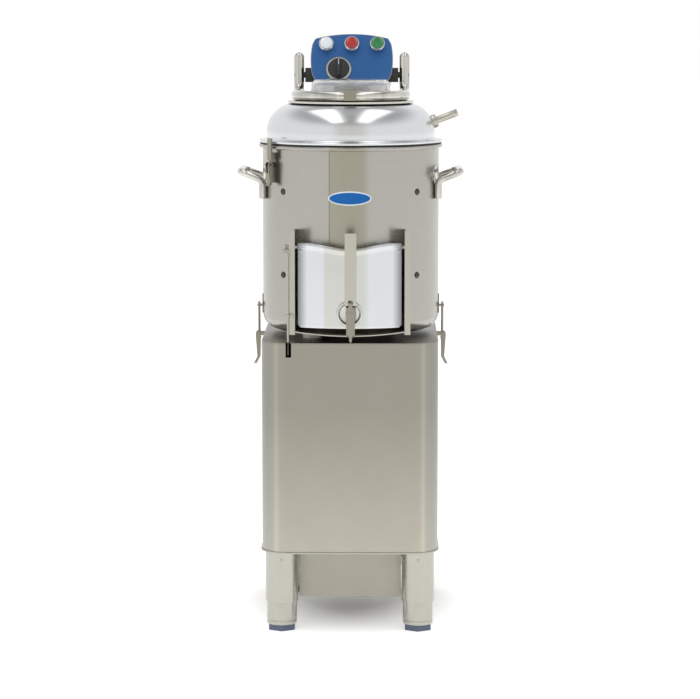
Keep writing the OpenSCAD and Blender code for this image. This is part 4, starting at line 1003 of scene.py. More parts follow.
@dataclass
class Pipe:
    """A round rod or tube that grows by straight runs and bends."""

    radius: float
    start: Point
    heading: Point
    sides: int = 36
    shape: bmesh.types.BMesh = field(init=False)
    ends: list = field(init=False)
    tip: Vector = field(init=False)
    way: Vector = field(init=False)

    def __post_init__(self) -> None:
        """Draw the first circle."""
        self.shape = bmesh.new()
        self.tip = Vector(self.start)
        self.way = Vector(self.heading).normalized()
        bmesh.ops.create_circle(
            self.shape, cap_ends=False, radius=self.radius, segments=self.sides,
            matrix=facing(self.start, self.way),
        )
        self.ends = self.shape.edges[:]

    def run(self, length: float) -> "Pipe":
        """Go straight on.

        Args:
            length: how far.

        Returns:
            The pipe itself.
        """
        grown = bmesh.ops.extrude_edge_only(self.shape, edges=self.ends)["geom"]
        step = self.way * length
        bmesh.ops.translate(self.shape, vec=step, verts=points_in(grown))
        self.ends = edges_in(grown)
        self.tip += step
        return self

    def bend(self, towards: Point, radius: float, angle: float, steps: int = 10) -> "Pipe":
        """Go on round a bend.

        Args:
            towards: the direction that it bends to.
            radius: the bend's radius at the middle of the pipe.
            angle: how far it turns, in degrees.
            steps: how many pieces the bend has.

        Returns:
            The pipe itself.
        """
        side = Vector(towards)
        side = (side - self.way * side.dot(self.way)).normalized()
        axis = self.way.cross(side)
        centre = self.tip + side * radius
        turn = math.radians(angle)
        points = list({v for e in self.ends for v in e.verts})
        grown = bmesh.ops.spin(
            self.shape, geom=points + self.ends, cent=centre, axis=axis, angle=turn,
            steps=steps, use_merge=False, use_duplicate=False,
        )["geom_last"]
        self.ends = edges_in(grown)
        rotation = Matrix.Rotation(turn, 3, axis)
        self.tip = centre + rotation @ (self.tip - centre)
        self.way = rotation @ self.way
        return self

    def done(self, ease: float = 0.0) -> bmesh.types.BMesh:
        """Close both ends and point the faces outwards.

        Args:
            ease: how far the rims of its ends are rounded.

        Returns:
            The finished shape.
        """
        bmesh.ops.remove_doubles(self.shape, verts=self.shape.verts, dist=WELD_SHAPE)
        bmesh.ops.holes_fill(self.shape, edges=self.shape.edges, sides=self.sides)
        bmesh.ops.recalc_face_normals(self.shape, faces=self.shape.faces)
        return eased(self.shape, ease, turn=60.0, segments=3) if ease else self.shape


@dataclass
class DomeHead:
    """A domed screw head with a round socket, on a washer, with its base at Z = 0."""

    radius: float = 0.005
    height: float = 0.0026
    rim_share: float = 0.35
    socket_share: float = 0.42
    socket_floor: float = 0.4
    socket_depth: float = 0.5
    washer_r: float = 0.0064
    washer_t: float = 0.0008
    washer_ease: float = 0.0002
    steps: int = 24

    def make(self) -> bmesh.types.BMesh:
        """Build the head on its washer."""
        r, h, lift = self.radius, self.height, self.washer_t
        profile = [(0.0, lift), (r, lift), (r, lift + h * self.rim_share)]
        for turn in (20, 40, 60):
            bow = math.radians(turn)
            rise = self.rim_share + (1.0 - self.rim_share) * math.sin(bow)
            profile.append((r * math.cos(bow), lift + h * rise))
        deep = lift + h * self.socket_depth
        profile += [(r * self.socket_share, lift + h), (r * self.socket_floor, deep), (0.0, deep)]
        head = spun(profile, steps=self.steps, closed=False)
        bore, rim = r * 0.5, self.washer_r
        ring = spun([(bore, 0.0), (rim, 0.0), (rim, lift), (bore, lift)], steps=self.steps)
        return joined(head, eased(ring, self.washer_ease))


# ---- The machine ----


@dataclass
class Stand:
    """Feet, legs, the plate that joins them and the filter tray."""

    leg_x: float = 0.130
    front_y: float = -0.150
    rear_y: float = 0.185
    pad_sides: int = 6
    pad_r: float = 0.0285
    pad_h: float = 0.0125
    sleeve_r: float = 0.0286
    sleeve_top: float = 0.1005
    sleeve_sink: float = 0.0005
    sleeve_ease: float = 0.0005
    groove_deep: float = 0.0006
    groove_steps: tuple[float, ...] = (0.006, 0.0068, 0.0082, 0.009)
    pad_ease: float = 0.0012
    leg_ease: float = 0.0006
    sheet_ease: float = 0.0004

    def foot(self, node: str, x: float, y: float) -> None:
        """Build one hexagonal pad and the grooved sleeve on it.

        Args:
            node: the foot's solid.
            x: where its middle is from side to side.
            y: where its middle is from front to back.
        """
        pad = bmesh.new()
        bmesh.ops.create_cone(
            pad, cap_ends=True, segments=self.pad_sides, radius1=self.pad_r, radius2=self.pad_r,
            depth=self.pad_h,
        )
        moved(pad, Matrix.Translation((x, y, self.pad_h / 2)))
        eased(pad, self.pad_ease, 30.0, 3)
        place_piece(f"{node}_pad", pad, "foot_plastic", body_of(node), [node])
        low, high, r = self.pad_h - self.sleeve_sink, self.sleeve_top, self.sleeve_r
        depths = (0.0, self.groove_deep, self.groove_deep, 0.0)
        groove = [(r - deep, low + step) for deep, step in zip(depths, self.groove_steps)]
        sleeve = spun([(0.0, low), (r, low), *groove, (r, high), (0.0, high)], steps=64, closed=False)
        moved(sleeve, Matrix.Translation((x, y, 0.0)))
        eased(sleeve, self.sleeve_ease)
        place_piece(f"{node}_sleeve", sleeve, "leg_steel", body_of(node), [node])

    def build(self) -> None:
        """Build the stand."""
        for depth, y in (("front", self.front_y), ("rear", self.rear_y)):
            for side, x in (("left", -self.leg_x), ("right", self.leg_x)):
                self.foot(f"foot_{depth}_{side}", x, y)
        eased_copy("legs", self.leg_ease)
        for node in ("stand_screws", "stand_plate", "filter_tray", "drain_pipe"):
            eased_copy(node, self.sheet_ease)


@dataclass
class Cabinet:
    """The closed cabinet with its deck, service panel and cable gland."""

    sheet_ease: float = 0.0005
    deck_ease: float = 0.0004
    gland_ease: float = 0.0006

    def build(self) -> None:
        """Build the cabinet."""
        eased_copy("cabinet_shell", self.sheet_ease)
        eased_copy("cabinet_deck", self.deck_ease)
        eased_copy("service_panel", self.sheet_ease)
        eased_copy("cable_gland", self.gland_ease)


@dataclass
class Drum:
    """The peeling drum with its seam, liners, bolts, badge and carry handles."""

    radius: float = 0.170
    shell_ease: float = 0.0005
    liner_ease: float = 0.0004
    seam_turn: float = 13.0
    seam_low: float = 0.742
    seam_high: float = 0.913
    seam_r: float = 0.0012
    seam_proud: float = 0.00035
    bolt_sink: float = 0.0002
    handle_r: float = 0.007
    handle_y: float = 0.056
    handle_ease: float = 0.001
    stem_x: float = 0.16803
    stem_low: float = 0.818
    bend_z: float = 0.853
    bend_r: float = 0.014
    reach_x: float = 0.2104
    reach_z: float = 0.86926
    tab_r: float = 0.012
    tab_z: float = 0.870
    tab_t: float = 0.0025
    tab_ease: float = 0.0007
    tab_cuts: tuple[float, ...] = (-0.008, -0.004, 0.0, 0.004, 0.008)
    badge_half_w: float = 0.041
    badge_half_h: float = 0.0135
    badge_z: float = 0.826
    badge_edge: float = 0.0026
    badge_r: float = 0.1712
    badge_step: float = 0.0002
    badge_sink: float = 0.0005
    badge_cuts: int = 9
    badge_ease: float = 0.00025

    def seam(self) -> None:
        """Lay the flat weld line that runs down the front of the drum."""
        turn = math.radians(self.seam_turn)
        x, y = -self.radius * math.sin(turn), -self.radius * math.cos(turn)
        inset = self.seam_r - self.seam_proud
        start = (x + inset * math.sin(turn), y + inset * math.cos(turn), self.seam_low)
        line = Pipe(self.seam_r, start, (0.0, 0.0, 1.0), sides=16)
        line.run(self.seam_high - self.seam_low)
        place_piece("drum_seam", line.done(), "seam_steel", "machine")

    def bolts(self) -> None:
        """Build the domed heads of the liner bolts where the solids have them."""
        solid = merged("liner_bolts")
        spots = [middle(part) for part in islands(solid)]
        solid.free()
        heads = []
        for spot in spots:
            out = Vector((spot.x, spot.y, 0.0)).normalized()
            base = out * (self.radius - self.bolt_sink) + Vector((0.0, 0.0, spot.z))
            heads.append(moved(DomeHead().make(), facing(base, out)))
        place_piece("liner_bolt_heads", joined(*heads), "dark_steel_and_painted_shade", "machine", ["liner_bolts"])

    def handle(self, side: int) -> bmesh.types.BMesh:
        """Return one carry handle as a rod with round bends.

        Args:
            side: -1 for the left one, 1 for the right one.

        Returns:
            The handle in its place.
        """
        rise = Vector((self.reach_x - self.stem_x, 0.0, self.reach_z - self.bend_z))
        lean = math.degrees(math.atan2(rise.x, rise.z))
        cut = self.bend_r * math.tan(math.radians(lean / 2))
        slope = rise.length - cut - self.bend_r
        rod = Pipe(self.handle_r, (self.stem_x, -self.handle_y, self.stem_low), (0.0, 0.0, 1.0))
        rod.run(self.bend_z - self.stem_low - cut)
        rod.bend((1.0, 0.0, 0.0), self.bend_r, lean).run(slope)
        rod.bend((0.0, 1.0, 0.0), self.bend_r, 90.0).run(2 * (self.handle_y - self.bend_r))
        rod.bend(tuple(-rise), self.bend_r, 90.0).run(slope)
        rod.bend((0.0, 0.0, -1.0), self.bend_r, lean).run(self.bend_z - self.stem_low - cut)
        shape = rod.done(self.handle_ease)
        return flipped(shape) if side < 0 else shape

    def oval(self, half_w: float, half_h: float, low: float, high: float) -> bmesh.types.BMesh:
        """Return a bare oval plate bent to the drum.

        Args:
            half_w: half of its width.
            half_h: half of its height.
            low: the distance of its back from the drum's axis.
            high: the distance of its face from the drum's axis.

        Returns:
            The plate in its place.
        """
        shape = bmesh.new()
        stand = Matrix.Translation((0.0, 0.0, self.badge_z)) @ Matrix.Rotation(math.radians(90.0), 4, "X")
        bmesh.ops.create_circle(shape, cap_ends=True, radius=1.0, segments=96)
        moved(shape, stand @ Matrix.Diagonal((half_w, half_h, 1.0, 1.0)))
        for step in range(-self.badge_cuts, self.badge_cuts + 1):
            sliced(shape, (step * half_w / (self.badge_cuts + 1.0), 0.0, 0.0), (1.0, 0.0, 0.0))
        grown = bmesh.ops.extrude_face_region(shape, geom=shape.faces[:])["geom"]
        front = set(points_in(grown))
        for vert in shape.verts:
            bow = high if vert in front else low
            vert.co.y = -math.sqrt(bow * bow - vert.co.x * vert.co.x)
        bmesh.ops.recalc_face_normals(shape, faces=shape.faces)
        return eased(shape, self.badge_ease)

    def badge(self) -> None:
        """Build the bare oval badge: a white plate with a blue face set on it."""
        back, front = self.radius - self.badge_sink, self.badge_r - self.badge_step
        edge = self.oval(self.badge_half_w, self.badge_half_h, back, front)
        place_piece("badge_edge", edge, "badge_white", "machine", ["badge_plate"])
        inset = self.badge_edge
        face = self.oval(self.badge_half_w - inset, self.badge_half_h - inset, self.radius, self.badge_r)
        place_piece("badge_face", face, "badge_blue", "machine", ["badge_plate"])

    def tab(self, side: int, depth: int) -> bmesh.types.BMesh:
        """Return a round tab with a neck, bent to the drum above one handle stem.

        Args:
            side: -1 for the left handle, 1 for the right one.
            depth: -1 for the front stem, 1 for the rear one.

        Returns:
            The tab in its place.
        """
        half = self.handle_r
        start = -math.degrees(math.acos(half / self.tab_r))
        top = arc(0.0, self.tab_z, self.tab_r, start, 180.0 - start, 36)
        outline = [*top, (-half, self.bend_z), (half, self.bend_z)]
        shape = bmesh.new()
        face = shape.faces.new([shape.verts.new((x, 0.0, z)) for x, z in outline])
        grown = bmesh.ops.extrude_face_region(shape, geom=[face])["geom"]
        bmesh.ops.translate(shape, vec=(0.0, -self.tab_t, 0.0), verts=points_in(grown))
        for cut in self.tab_cuts:
            sliced(shape, (cut, 0.0, 0.0), (1.0, 0.0, 0.0))
        bmesh.ops.recalc_face_normals(shape, faces=shape.faces)
        eased(shape, self.tab_ease)
        for vert in shape.verts:
            vert.co.y -= math.sqrt(self.radius**2 - vert.co.x**2)
        turn = math.atan2(side * self.stem_x, -depth * self.handle_y)
        return moved(shape, Matrix.Rotation(turn, 4, "Z"))

    def build(self) -> None:
        """Build the drum."""
        eased_copy("drum_shell", self.shell_ease, drum=True)
        eased_copy("liner_panels", self.liner_ease)
        self.seam()
        self.bolts()
        self.badge()
        for side, word in ((-1, "left"), (1, "right")):
            place_piece(f"carry_handle_{word}", self.handle(side), "tube_steel", "machine", ["carry_handles"])
            tabs = joined(self.tab(side, -1), self.tab(side, 1))
            place_piece(f"handle_tabs_{word}", tabs, "bright_steel", "machine", ["carry_handles"])


@dataclass
class Drive:
    """The turning plate with its shaft, bearings, belt and motor."""

    part_ease: float = 0.0005
    grit_ease: float = 0.0006
    plate_ease: float = 0.0008
    motor_ease: float = 0.002

    def build(self) -> None:
        """Build the drive."""
        turned = ("bearing_housing", "bearings", "drive_shaft", "drive_pulley", "motor_pulley", "plate_nut")
        for node in turned:
            eased_copy(node, self.part_ease)
        eased_copy("abrasive_plate", self.plate_ease)
        eased_copy("plate_grit", self.grit_ease)
        eased_copy("motor_plate", self.plate_ease)
        eased_copy("motor_housing", self.motor_ease)
        eased_copy("drive_belt", self.plate_ease)


@dataclass
class Chute:
    """The discharge chute with its polished door, the door's lever and the switch rod."""

    frame_ease: float = 0.0005
    door_r: float = 0.203
    door_t: float = 0.004
    door_ease: float = 0.0009
    skin_inset: float = 0.0002
    skin_gap: float = 0.0004
    skin_thin: float = 0.0006
    half: float = 0.098
    low: float = 0.584
    high: float = 0.744
    dip: float = 0.009
    dip_half: float = 0.082
    bead: float = 0.0018
    bead_h: float = 0.010
    bead_rows: float = 0.4
    corner_r: float = 0.007
    rim_half: float = 0.094
    rim_t: float = 0.004
    rim_r: float = 0.1715
    rim_low: float = 0.590
    rim_high: float = 0.730
    rim_sink: float = 0.0005
    rim_ease: float = 0.0006
    lug_r: float = 0.008
    lug_len: float = 0.030
    lug_ease: float = 0.0014
    web_front: float = -0.183
    web_back: float = -0.1675
    web_h: float = 0.012
    web_ends: Pair = (0.002, 0.001)
    web_ease: float = 0.002
    swell_r: float = 0.0078
    swell: float = 0.003
    swell_len: float = 0.034
    swell_inset: float = 0.0006
    swell_ease: float = 0.003
    pin_y: float = -0.1695
    pin_z: float = 0.735
    pin_ease: float = 0.0004
    boss_z: float = 0.613
    boss_r: float = 0.025
    boss_h: float = 0.0045
    boss_depth: float = 0.0105
    boss_rim: tuple[Pair, ...] = ((0.0, 0.0088), (0.0016, 0.0105), (0.0042, 0.0105), (0.0068, 0.0078))
    boss_ease: float = 0.0008
    slot_top: float = 0.557
    rod_ease: float = 0.0003
    switch_ease: float = 0.0006
    lever_x: float = 0.002
    lever_ease: float = 0.0022
    link_ease: float = 0.0008
    rivet_r: float = 0.0046
    rivet_y: float = -0.2232
    rivet_heights: Pair = (0.0004, 0.0007)

    def crest(self, x: float) -> float:
        """Return the height of the door's wavy top edge at a place across it."""
        share = min(1.0, abs(x) / self.dip_half)
        return self.high - self.skin_gap - self.dip * 0.5 * (1.0 + math.cos(math.pi * share))

    def skin(self) -> bmesh.types.BMesh:
        """Return the curved skin of the door, with its wavy, beaded top edge and rounded lower corners."""
        shape = bmesh.new()
        bmesh.ops.create_grid(shape, x_segments=72, y_segments=48, size=1.0)
        bow, foot = self.door_r - self.skin_inset, self.low + self.skin_gap
        for vert in shape.verts:
            share = (vert.co.y + 1.0) / 2.0
            crest = self.crest(vert.co.x * self.half) - self.bead_h
            below = min(1.0, share / (1.0 - self.bead_rows))
            above = max(0.0, share - 1.0 + self.bead_rows) / self.bead_rows
            z = foot + below * (crest - foot) + above * self.bead_h
            short = max(0.0, self.corner_r - (z - self.low))
            trim = self.corner_r - math.sqrt(self.corner_r**2 - short**2)
            x = vert.co.x * (self.half - self.skin_gap - trim)
            ahead = self.bead * math.sin(math.pi * above)
            vert.co = (x, -math.sqrt(bow * bow - x * x) - ahead, z)
        bmesh.ops.recalc_face_normals(shape, faces=shape.faces)
        bmesh.ops.solidify(shape, geom=shape.faces[:], thickness=self.door_t - self.skin_thin)
        front = min(v.co.y for v in shape.verts)
        moved(shape, Matrix.Translation((0.0, -bow - self.bead - front, 0.0)))
        bmesh.ops.recalc_face_normals(shape, faces=shape.faces)
        return eased(shape, self.door_ease, 60.0, 3)

    def rim_bar(self, low: float, inner: float, outer: float) -> bmesh.types.BMesh:
        """Return one level bar of the door's inner frame, bent round the drum.

        Args:
            low: the height of its lower face.
            inner: the distance of its back from the drum's axis.
            outer: the distance of its front from the drum's axis.

        Returns:
            The bar in its place.
        """
        reach = math.asin((self.rim_half - self.rim_t / 2.0) / ((inner + outer) / 2.0))
        bar = bmesh.new()
        profile = [(inner, low), (outer, low), (outer, low + self.rim_t), (inner, low + self.rim_t)]
        points = [bar.verts.new((0.0, -r, z)) for r, z in profile]
        edges = [bar.edges.new((a, b)) for a, b in zip(points, points[1:] + points[:1])]
        moved(bar, Matrix.Rotation(-reach, 4, "Z"))
        bmesh.ops.spin(
            bar, geom=points + edges, cent=(0.0, 0.0, 0.0), axis=(0.0, 0.0, 1.0), angle=2.0 * reach,
            steps=24, use_merge=False, use_duplicate=False,
        )
        bmesh.ops.holes_fill(bar, edges=bar.edges, sides=4)
        bmesh.ops.recalc_face_normals(bar, faces=bar.faces)
        return eased(bar, self.rim_ease)

    def rim(self) -> bmesh.types.BMesh:
        """Return the frame on the inside of the door that closes the drum's opening."""
        inner, outer = self.rim_r, self.door_r - self.door_t + self.rim_sink
        bars = [self.rim_bar(low, inner, outer) for low in (self.rim_low, self.rim_high - self.rim_t)]
        for side in (-1, 1):
            x = side * (self.rim_half - self.rim_t / 2.0)
            front, back = math.sqrt(outer * outer - x * x), math.sqrt(inner * inner - x * x)
            low = (x - self.rim_t / 2.0, -front, self.rim_low)
            high = (x + self.rim_t / 2.0, -back, self.rim_high)
            bars.append(brick(low, high, self.rim_ease))
        return joined(*bars)

    def lug(self, side: int) -> bmesh.types.BMesh:
        """Return a hinge lug with its web, and the swelling of the door's front over it.

        Args:
            side: -1 for the left one, 1 for the right one.

        Returns:
            The lug in its place.
        """
        near, far = self.half - self.lug_len, self.half
        rod = Pipe(self.lug_r, (near, self.pin_y, self.pin_z), (1.0, 0.0, 0.0), sides=40)
        lug = rod.run(far - near).done(self.lug_ease)
        inner, outer = self.web_ends
        web = brick(
            (near + inner, self.web_front, self.pin_z - self.web_h),
            (far - outer, self.web_back, self.pin_z), self.web_ease,
        )
        bow = self.door_r - self.swell_r + self.swell
        out, inn = far - self.swell_inset, far - self.swell_len
        start = Vector((out, -math.sqrt(bow * bow - out * out), self.pin_z))
        end = Vector((inn, -math.sqrt(bow * bow - inn * inn) + self.swell, self.pin_z))
        swelling = Pipe(self.swell_r, tuple(start), tuple(end - start), sides=40)
        swelling.run((end - start).length)
        whole = joined(lug, web, swelling.done(self.swell_ease))
        return flipped(whole) if side < 0 else whole

    def boss(self) -> bmesh.types.BMesh:
        """Return the round boss under the lever, with its raised rim."""
        rim = [(self.boss_r - inset, height) for inset, height in self.boss_rim]
        shape = spun([(0.0, 0.0), (self.boss_r, 0.0), *rim, (0.0, rim[-1][1])], steps=64, closed=False)
        face = -self.door_r - self.boss_h + self.boss_depth
        return moved(eased(shape, self.boss_ease, 20.0, 3), facing((0.0, face, self.boss_z), FORWARD))

    def door(self) -> None:
        """Build the door: skin, inner rim, lugs and the round boss under the lever."""
        boss = self.boss()
        whole = joined(self.skin(), self.rim(), self.lug(-1), self.lug(1), boss)
        place_piece("discharge_door_skin", whole, "door_polish", "door", ["discharge_door"], turn=40.0)

    def lever(self) -> None:
        """Build the upright lever, rounded all over, with its link, rivet head and hinge pins."""
        eased_copy("door_lever", self.lever_ease, turn=50.0)
        eased_copy("door_link", self.link_ease)
        r, (edge, crown) = self.rivet_r, self.rivet_heights
        rivet = spun([(0.0, 0.0), (r, 0.0), (r, edge), (0.0, crown)], steps=40, closed=False)
        moved(rivet, facing((self.lever_x, self.rivet_y, self.boss_z), FORWARD))
        place_piece("door_link_rivet", rivet, "dark_steel_and_painted_shade", body_of("door_link"), ["door_link"])
        eased_copy("door_pins", self.pin_ease)

    def switch_rod(self) -> None:
        """Build the rod to the safety switch, dark below the cabinet's slot as painted shade, with its guide
        and switch.
        """
        rod = sliced(merged("switch_rod"), (0.0, 0.0, self.slot_top), (0.0, 0.0, 1.0))
        piece = dressed("switch_rod", eased(rod, self.rod_ease))
        # Painted shade: the rod is dark where it goes down into the cabinet's slot.
        refinish(piece, "dark_steel_and_painted_shade", (-1.0, -1.0, 0.0), (1.0, 1.0, self.slot_top))
        eased_copy("rod_guide", self.rod_ease)
        eased_copy("door_switch", self.switch_ease)

    def build(self) -> None:
        """Build the chute and what moves on it."""
        eased_copy("chute_frame", self.frame_ease)
        self.door()
        self.lever()
        self.switch_rod()


@dataclass
class Cover:
    """The tilting cover with its gasket, clear window, bail and water inlet."""

    rim_r: float = 0.177
    radius: float = 0.163
    low: float = 0.9243
    high: float = 1.000
    flange_t: float = 0.006
    roll_r: float = 0.003
    roll_inset: float = 0.004
    fillet_r: float = 0.004
    fillet_out: float = 0.007
    wall_rise: float = 0.006
    shoulder_r: float = 0.058
    wall: float = 0.004
    opening_r: float = 0.072
    gasket_ease: float = 0.0004
    frame_r: float = 0.1225
    frame_t: float = 0.004
    frame_in: float = 0.028
    frame_ease: float = 0.0009
    clasp_half: float = 0.0125
    clasp_front: float = -0.13
    clasp_top: float = 1.03
    clasp_lift: float = 0.0005
    window_r: float = 0.076
    window_h: float = 0.040
    window_bend: float = 0.012
    window_t: float = 0.004
    bail_r: float = 0.105
    bail_tube_r: float = 0.010
    bail_end_gap: float = 0.00005
    bail_bend: float = 0.020
    hinge_y: float = 0.186
    hinge_ease: float = 0.002
    bail_top: float = 1.083
    inlet_slope: float = 21.0
    inlet_r: float = 0.00775
    inlet_wall: float = 0.0015
    inlet_sink: float = 0.006
    inlet_hem: float = 0.0005
    inlet_bead: tuple[Pair, ...] = ((0.0005, 0.009), (0.0, 0.0075), (0.0, 0.006), (0.0005, 0.0045))
    inlet_tip: float = 0.0006
    inlet_ease: float = 0.0004
    collar_r: float = 0.013
    collar_h: float = 0.0139
    collar_hem: Pair = (0.0015, 0.0014)
    inlet_neck: float = 0.016
    inlet_root: float = 0.014
    inlet_len: float = 0.042

    def bowl(self) -> None:
        """Spin the bowl, with a rolled flange, a hem and a soft shoulder."""
        out_x, out_z = self.radius - self.shoulder_r, self.high - self.shoulder_r
        top = self.low + self.flange_t
        roll, turn = self.roll_r, self.fillet_r
        outer = [
            (self.rim_r - self.roll_inset, self.low),
            *arc(self.rim_r - roll, self.low + roll, roll, -90.0, 90.0, 8),
            (self.radius + self.fillet_out, top),
            *arc(self.radius + turn, top + turn, turn, -90.0, -180.0, 6),
            (self.radius, top + self.wall_rise), *arc(out_x, out_z, self.shoulder_r, 0.0, 90.0, 32),
            (self.frame_r - self.frame_in, self.high), (self.opening_r, self.high),
        ]
        deep = self.shoulder_r - self.wall
        inner = [
            (self.opening_r, self.high - self.wall), (out_x, self.high - self.wall),
            *arc(out_x, out_z, deep, 90.0, 0.0, 24), (self.radius - self.wall, self.low),
        ]
        bowl = spun(outer + inner, steps=160)
        place_piece("cover_bowl_spun", bowl, "cover_spun", "cover", ["cover_bowl"])

    def ring(self) -> None:
        """Build the frame ring round the window, with a duller clasp on it."""
        piece = eased_copy("window_frame", self.frame_ease)
        above = self.high + self.frame_t + self.clasp_lift
        low, high = (-self.clasp_half, self.clasp_front, above), (self.clasp_half, 0.0, self.clasp_top)
        refinish(piece, "latch_steel", low, high)

    def glass(self) -> None:
        """Spin the clear cap."""
        low, high = self.high + self.frame_t, self.high + self.frame_t + self.window_h
        r, k, w = self.window_r, self.window_bend, self.window_t
        outer = [(r, low), *arc(r - k, high - k, k, 0.0, 90.0, 10), (0.0, high)]
        inner = [(0.0, high - w), *arc(r - k, high - k, k - w, 90.0, 0.0, 8), (r - w, low)]
        cap = spun(outer + inner, steps=128)
        place_piece("window_cap", cap, "window_clear", "cover", ["window"])

    def bail(self) -> None:
        """Bend the bail: a half ring in front, two straight sides and two uprights."""
        z = self.high + self.frame_t + self.bail_tube_r
        rod = Pipe(self.bail_tube_r, (-self.bail_r, self.hinge_y, self.bail_top), (0.0, 0.0, -1.0))
        back = self.hinge_y - self.bail_bend
        rod.run(self.bail_top - z - self.bail_bend).bend((0.0, -1.0, 0.0), self.bail_bend, 90.0)
        rod.run(back).bend((1.0, 0.0, 0.0), self.bail_r, 180.0, steps=48).run(back)
        rod.bend((0.0, 0.0, 1.0), self.bail_bend, 90.0).run(self.bail_top - z - self.bail_bend)
        tube = rod.done()
        for side in (-1, 1):
            end = bmesh.new()
            end_r = self.bail_tube_r - self.bail_end_gap
            bmesh.ops.create_uvsphere(end, u_segments=36, v_segments=18, radius=end_r)
            moved(end, Matrix.Translation((side * self.bail_r, self.hinge_y, self.bail_top)))
            tube = joined(tube, end)
        place_piece("cover_bail_tube", tube, "tube_steel", "cover", ["cover_bail"])

    def inlet(self) -> None:
        """Build the water tube with its collar and a raised bead near its open end."""
        slope = math.radians(self.inlet_slope)
        way = Vector((math.cos(slope), 0.0, math.sin(slope)))
        shoulder = Vector((self.radius - self.shoulder_r, 0.0, self.high - self.shoulder_r))
        root = shoulder + way * (self.shoulder_r - self.inlet_sink)
        bore, r, c, top = self.inlet_r - self.inlet_wall, self.inlet_r, self.collar_r, self.collar_h
        far = self.inlet_root + self.inlet_len
        tube = spun(
            [
                (bore, 0.0), (c, 0.0), (c, top - self.collar_hem[1]), (c - self.collar_hem[0], top), (r, top),
                (r - self.inlet_hem, self.inlet_neck),
                *((r - inset, far - back) for inset, back in self.inlet_bead),
                (r - self.inlet_tip, far), (bore, far),
            ],
            steps=48,
        )
        moved(eased(tube, self.inlet_ease, 30.0), facing(root, way))
        place_piece("water_tube", tube, "leg_steel", "cover", ["water_inlet"])

    def build(self) -> None:
        """Build the cover."""
        self.bowl()
        eased_copy("cover_gasket", self.gasket_ease)
        self.ring()
        self.glass()
        self.bail()
        self.inlet()
        eased_copy("hinge_blocks", self.hinge_ease)


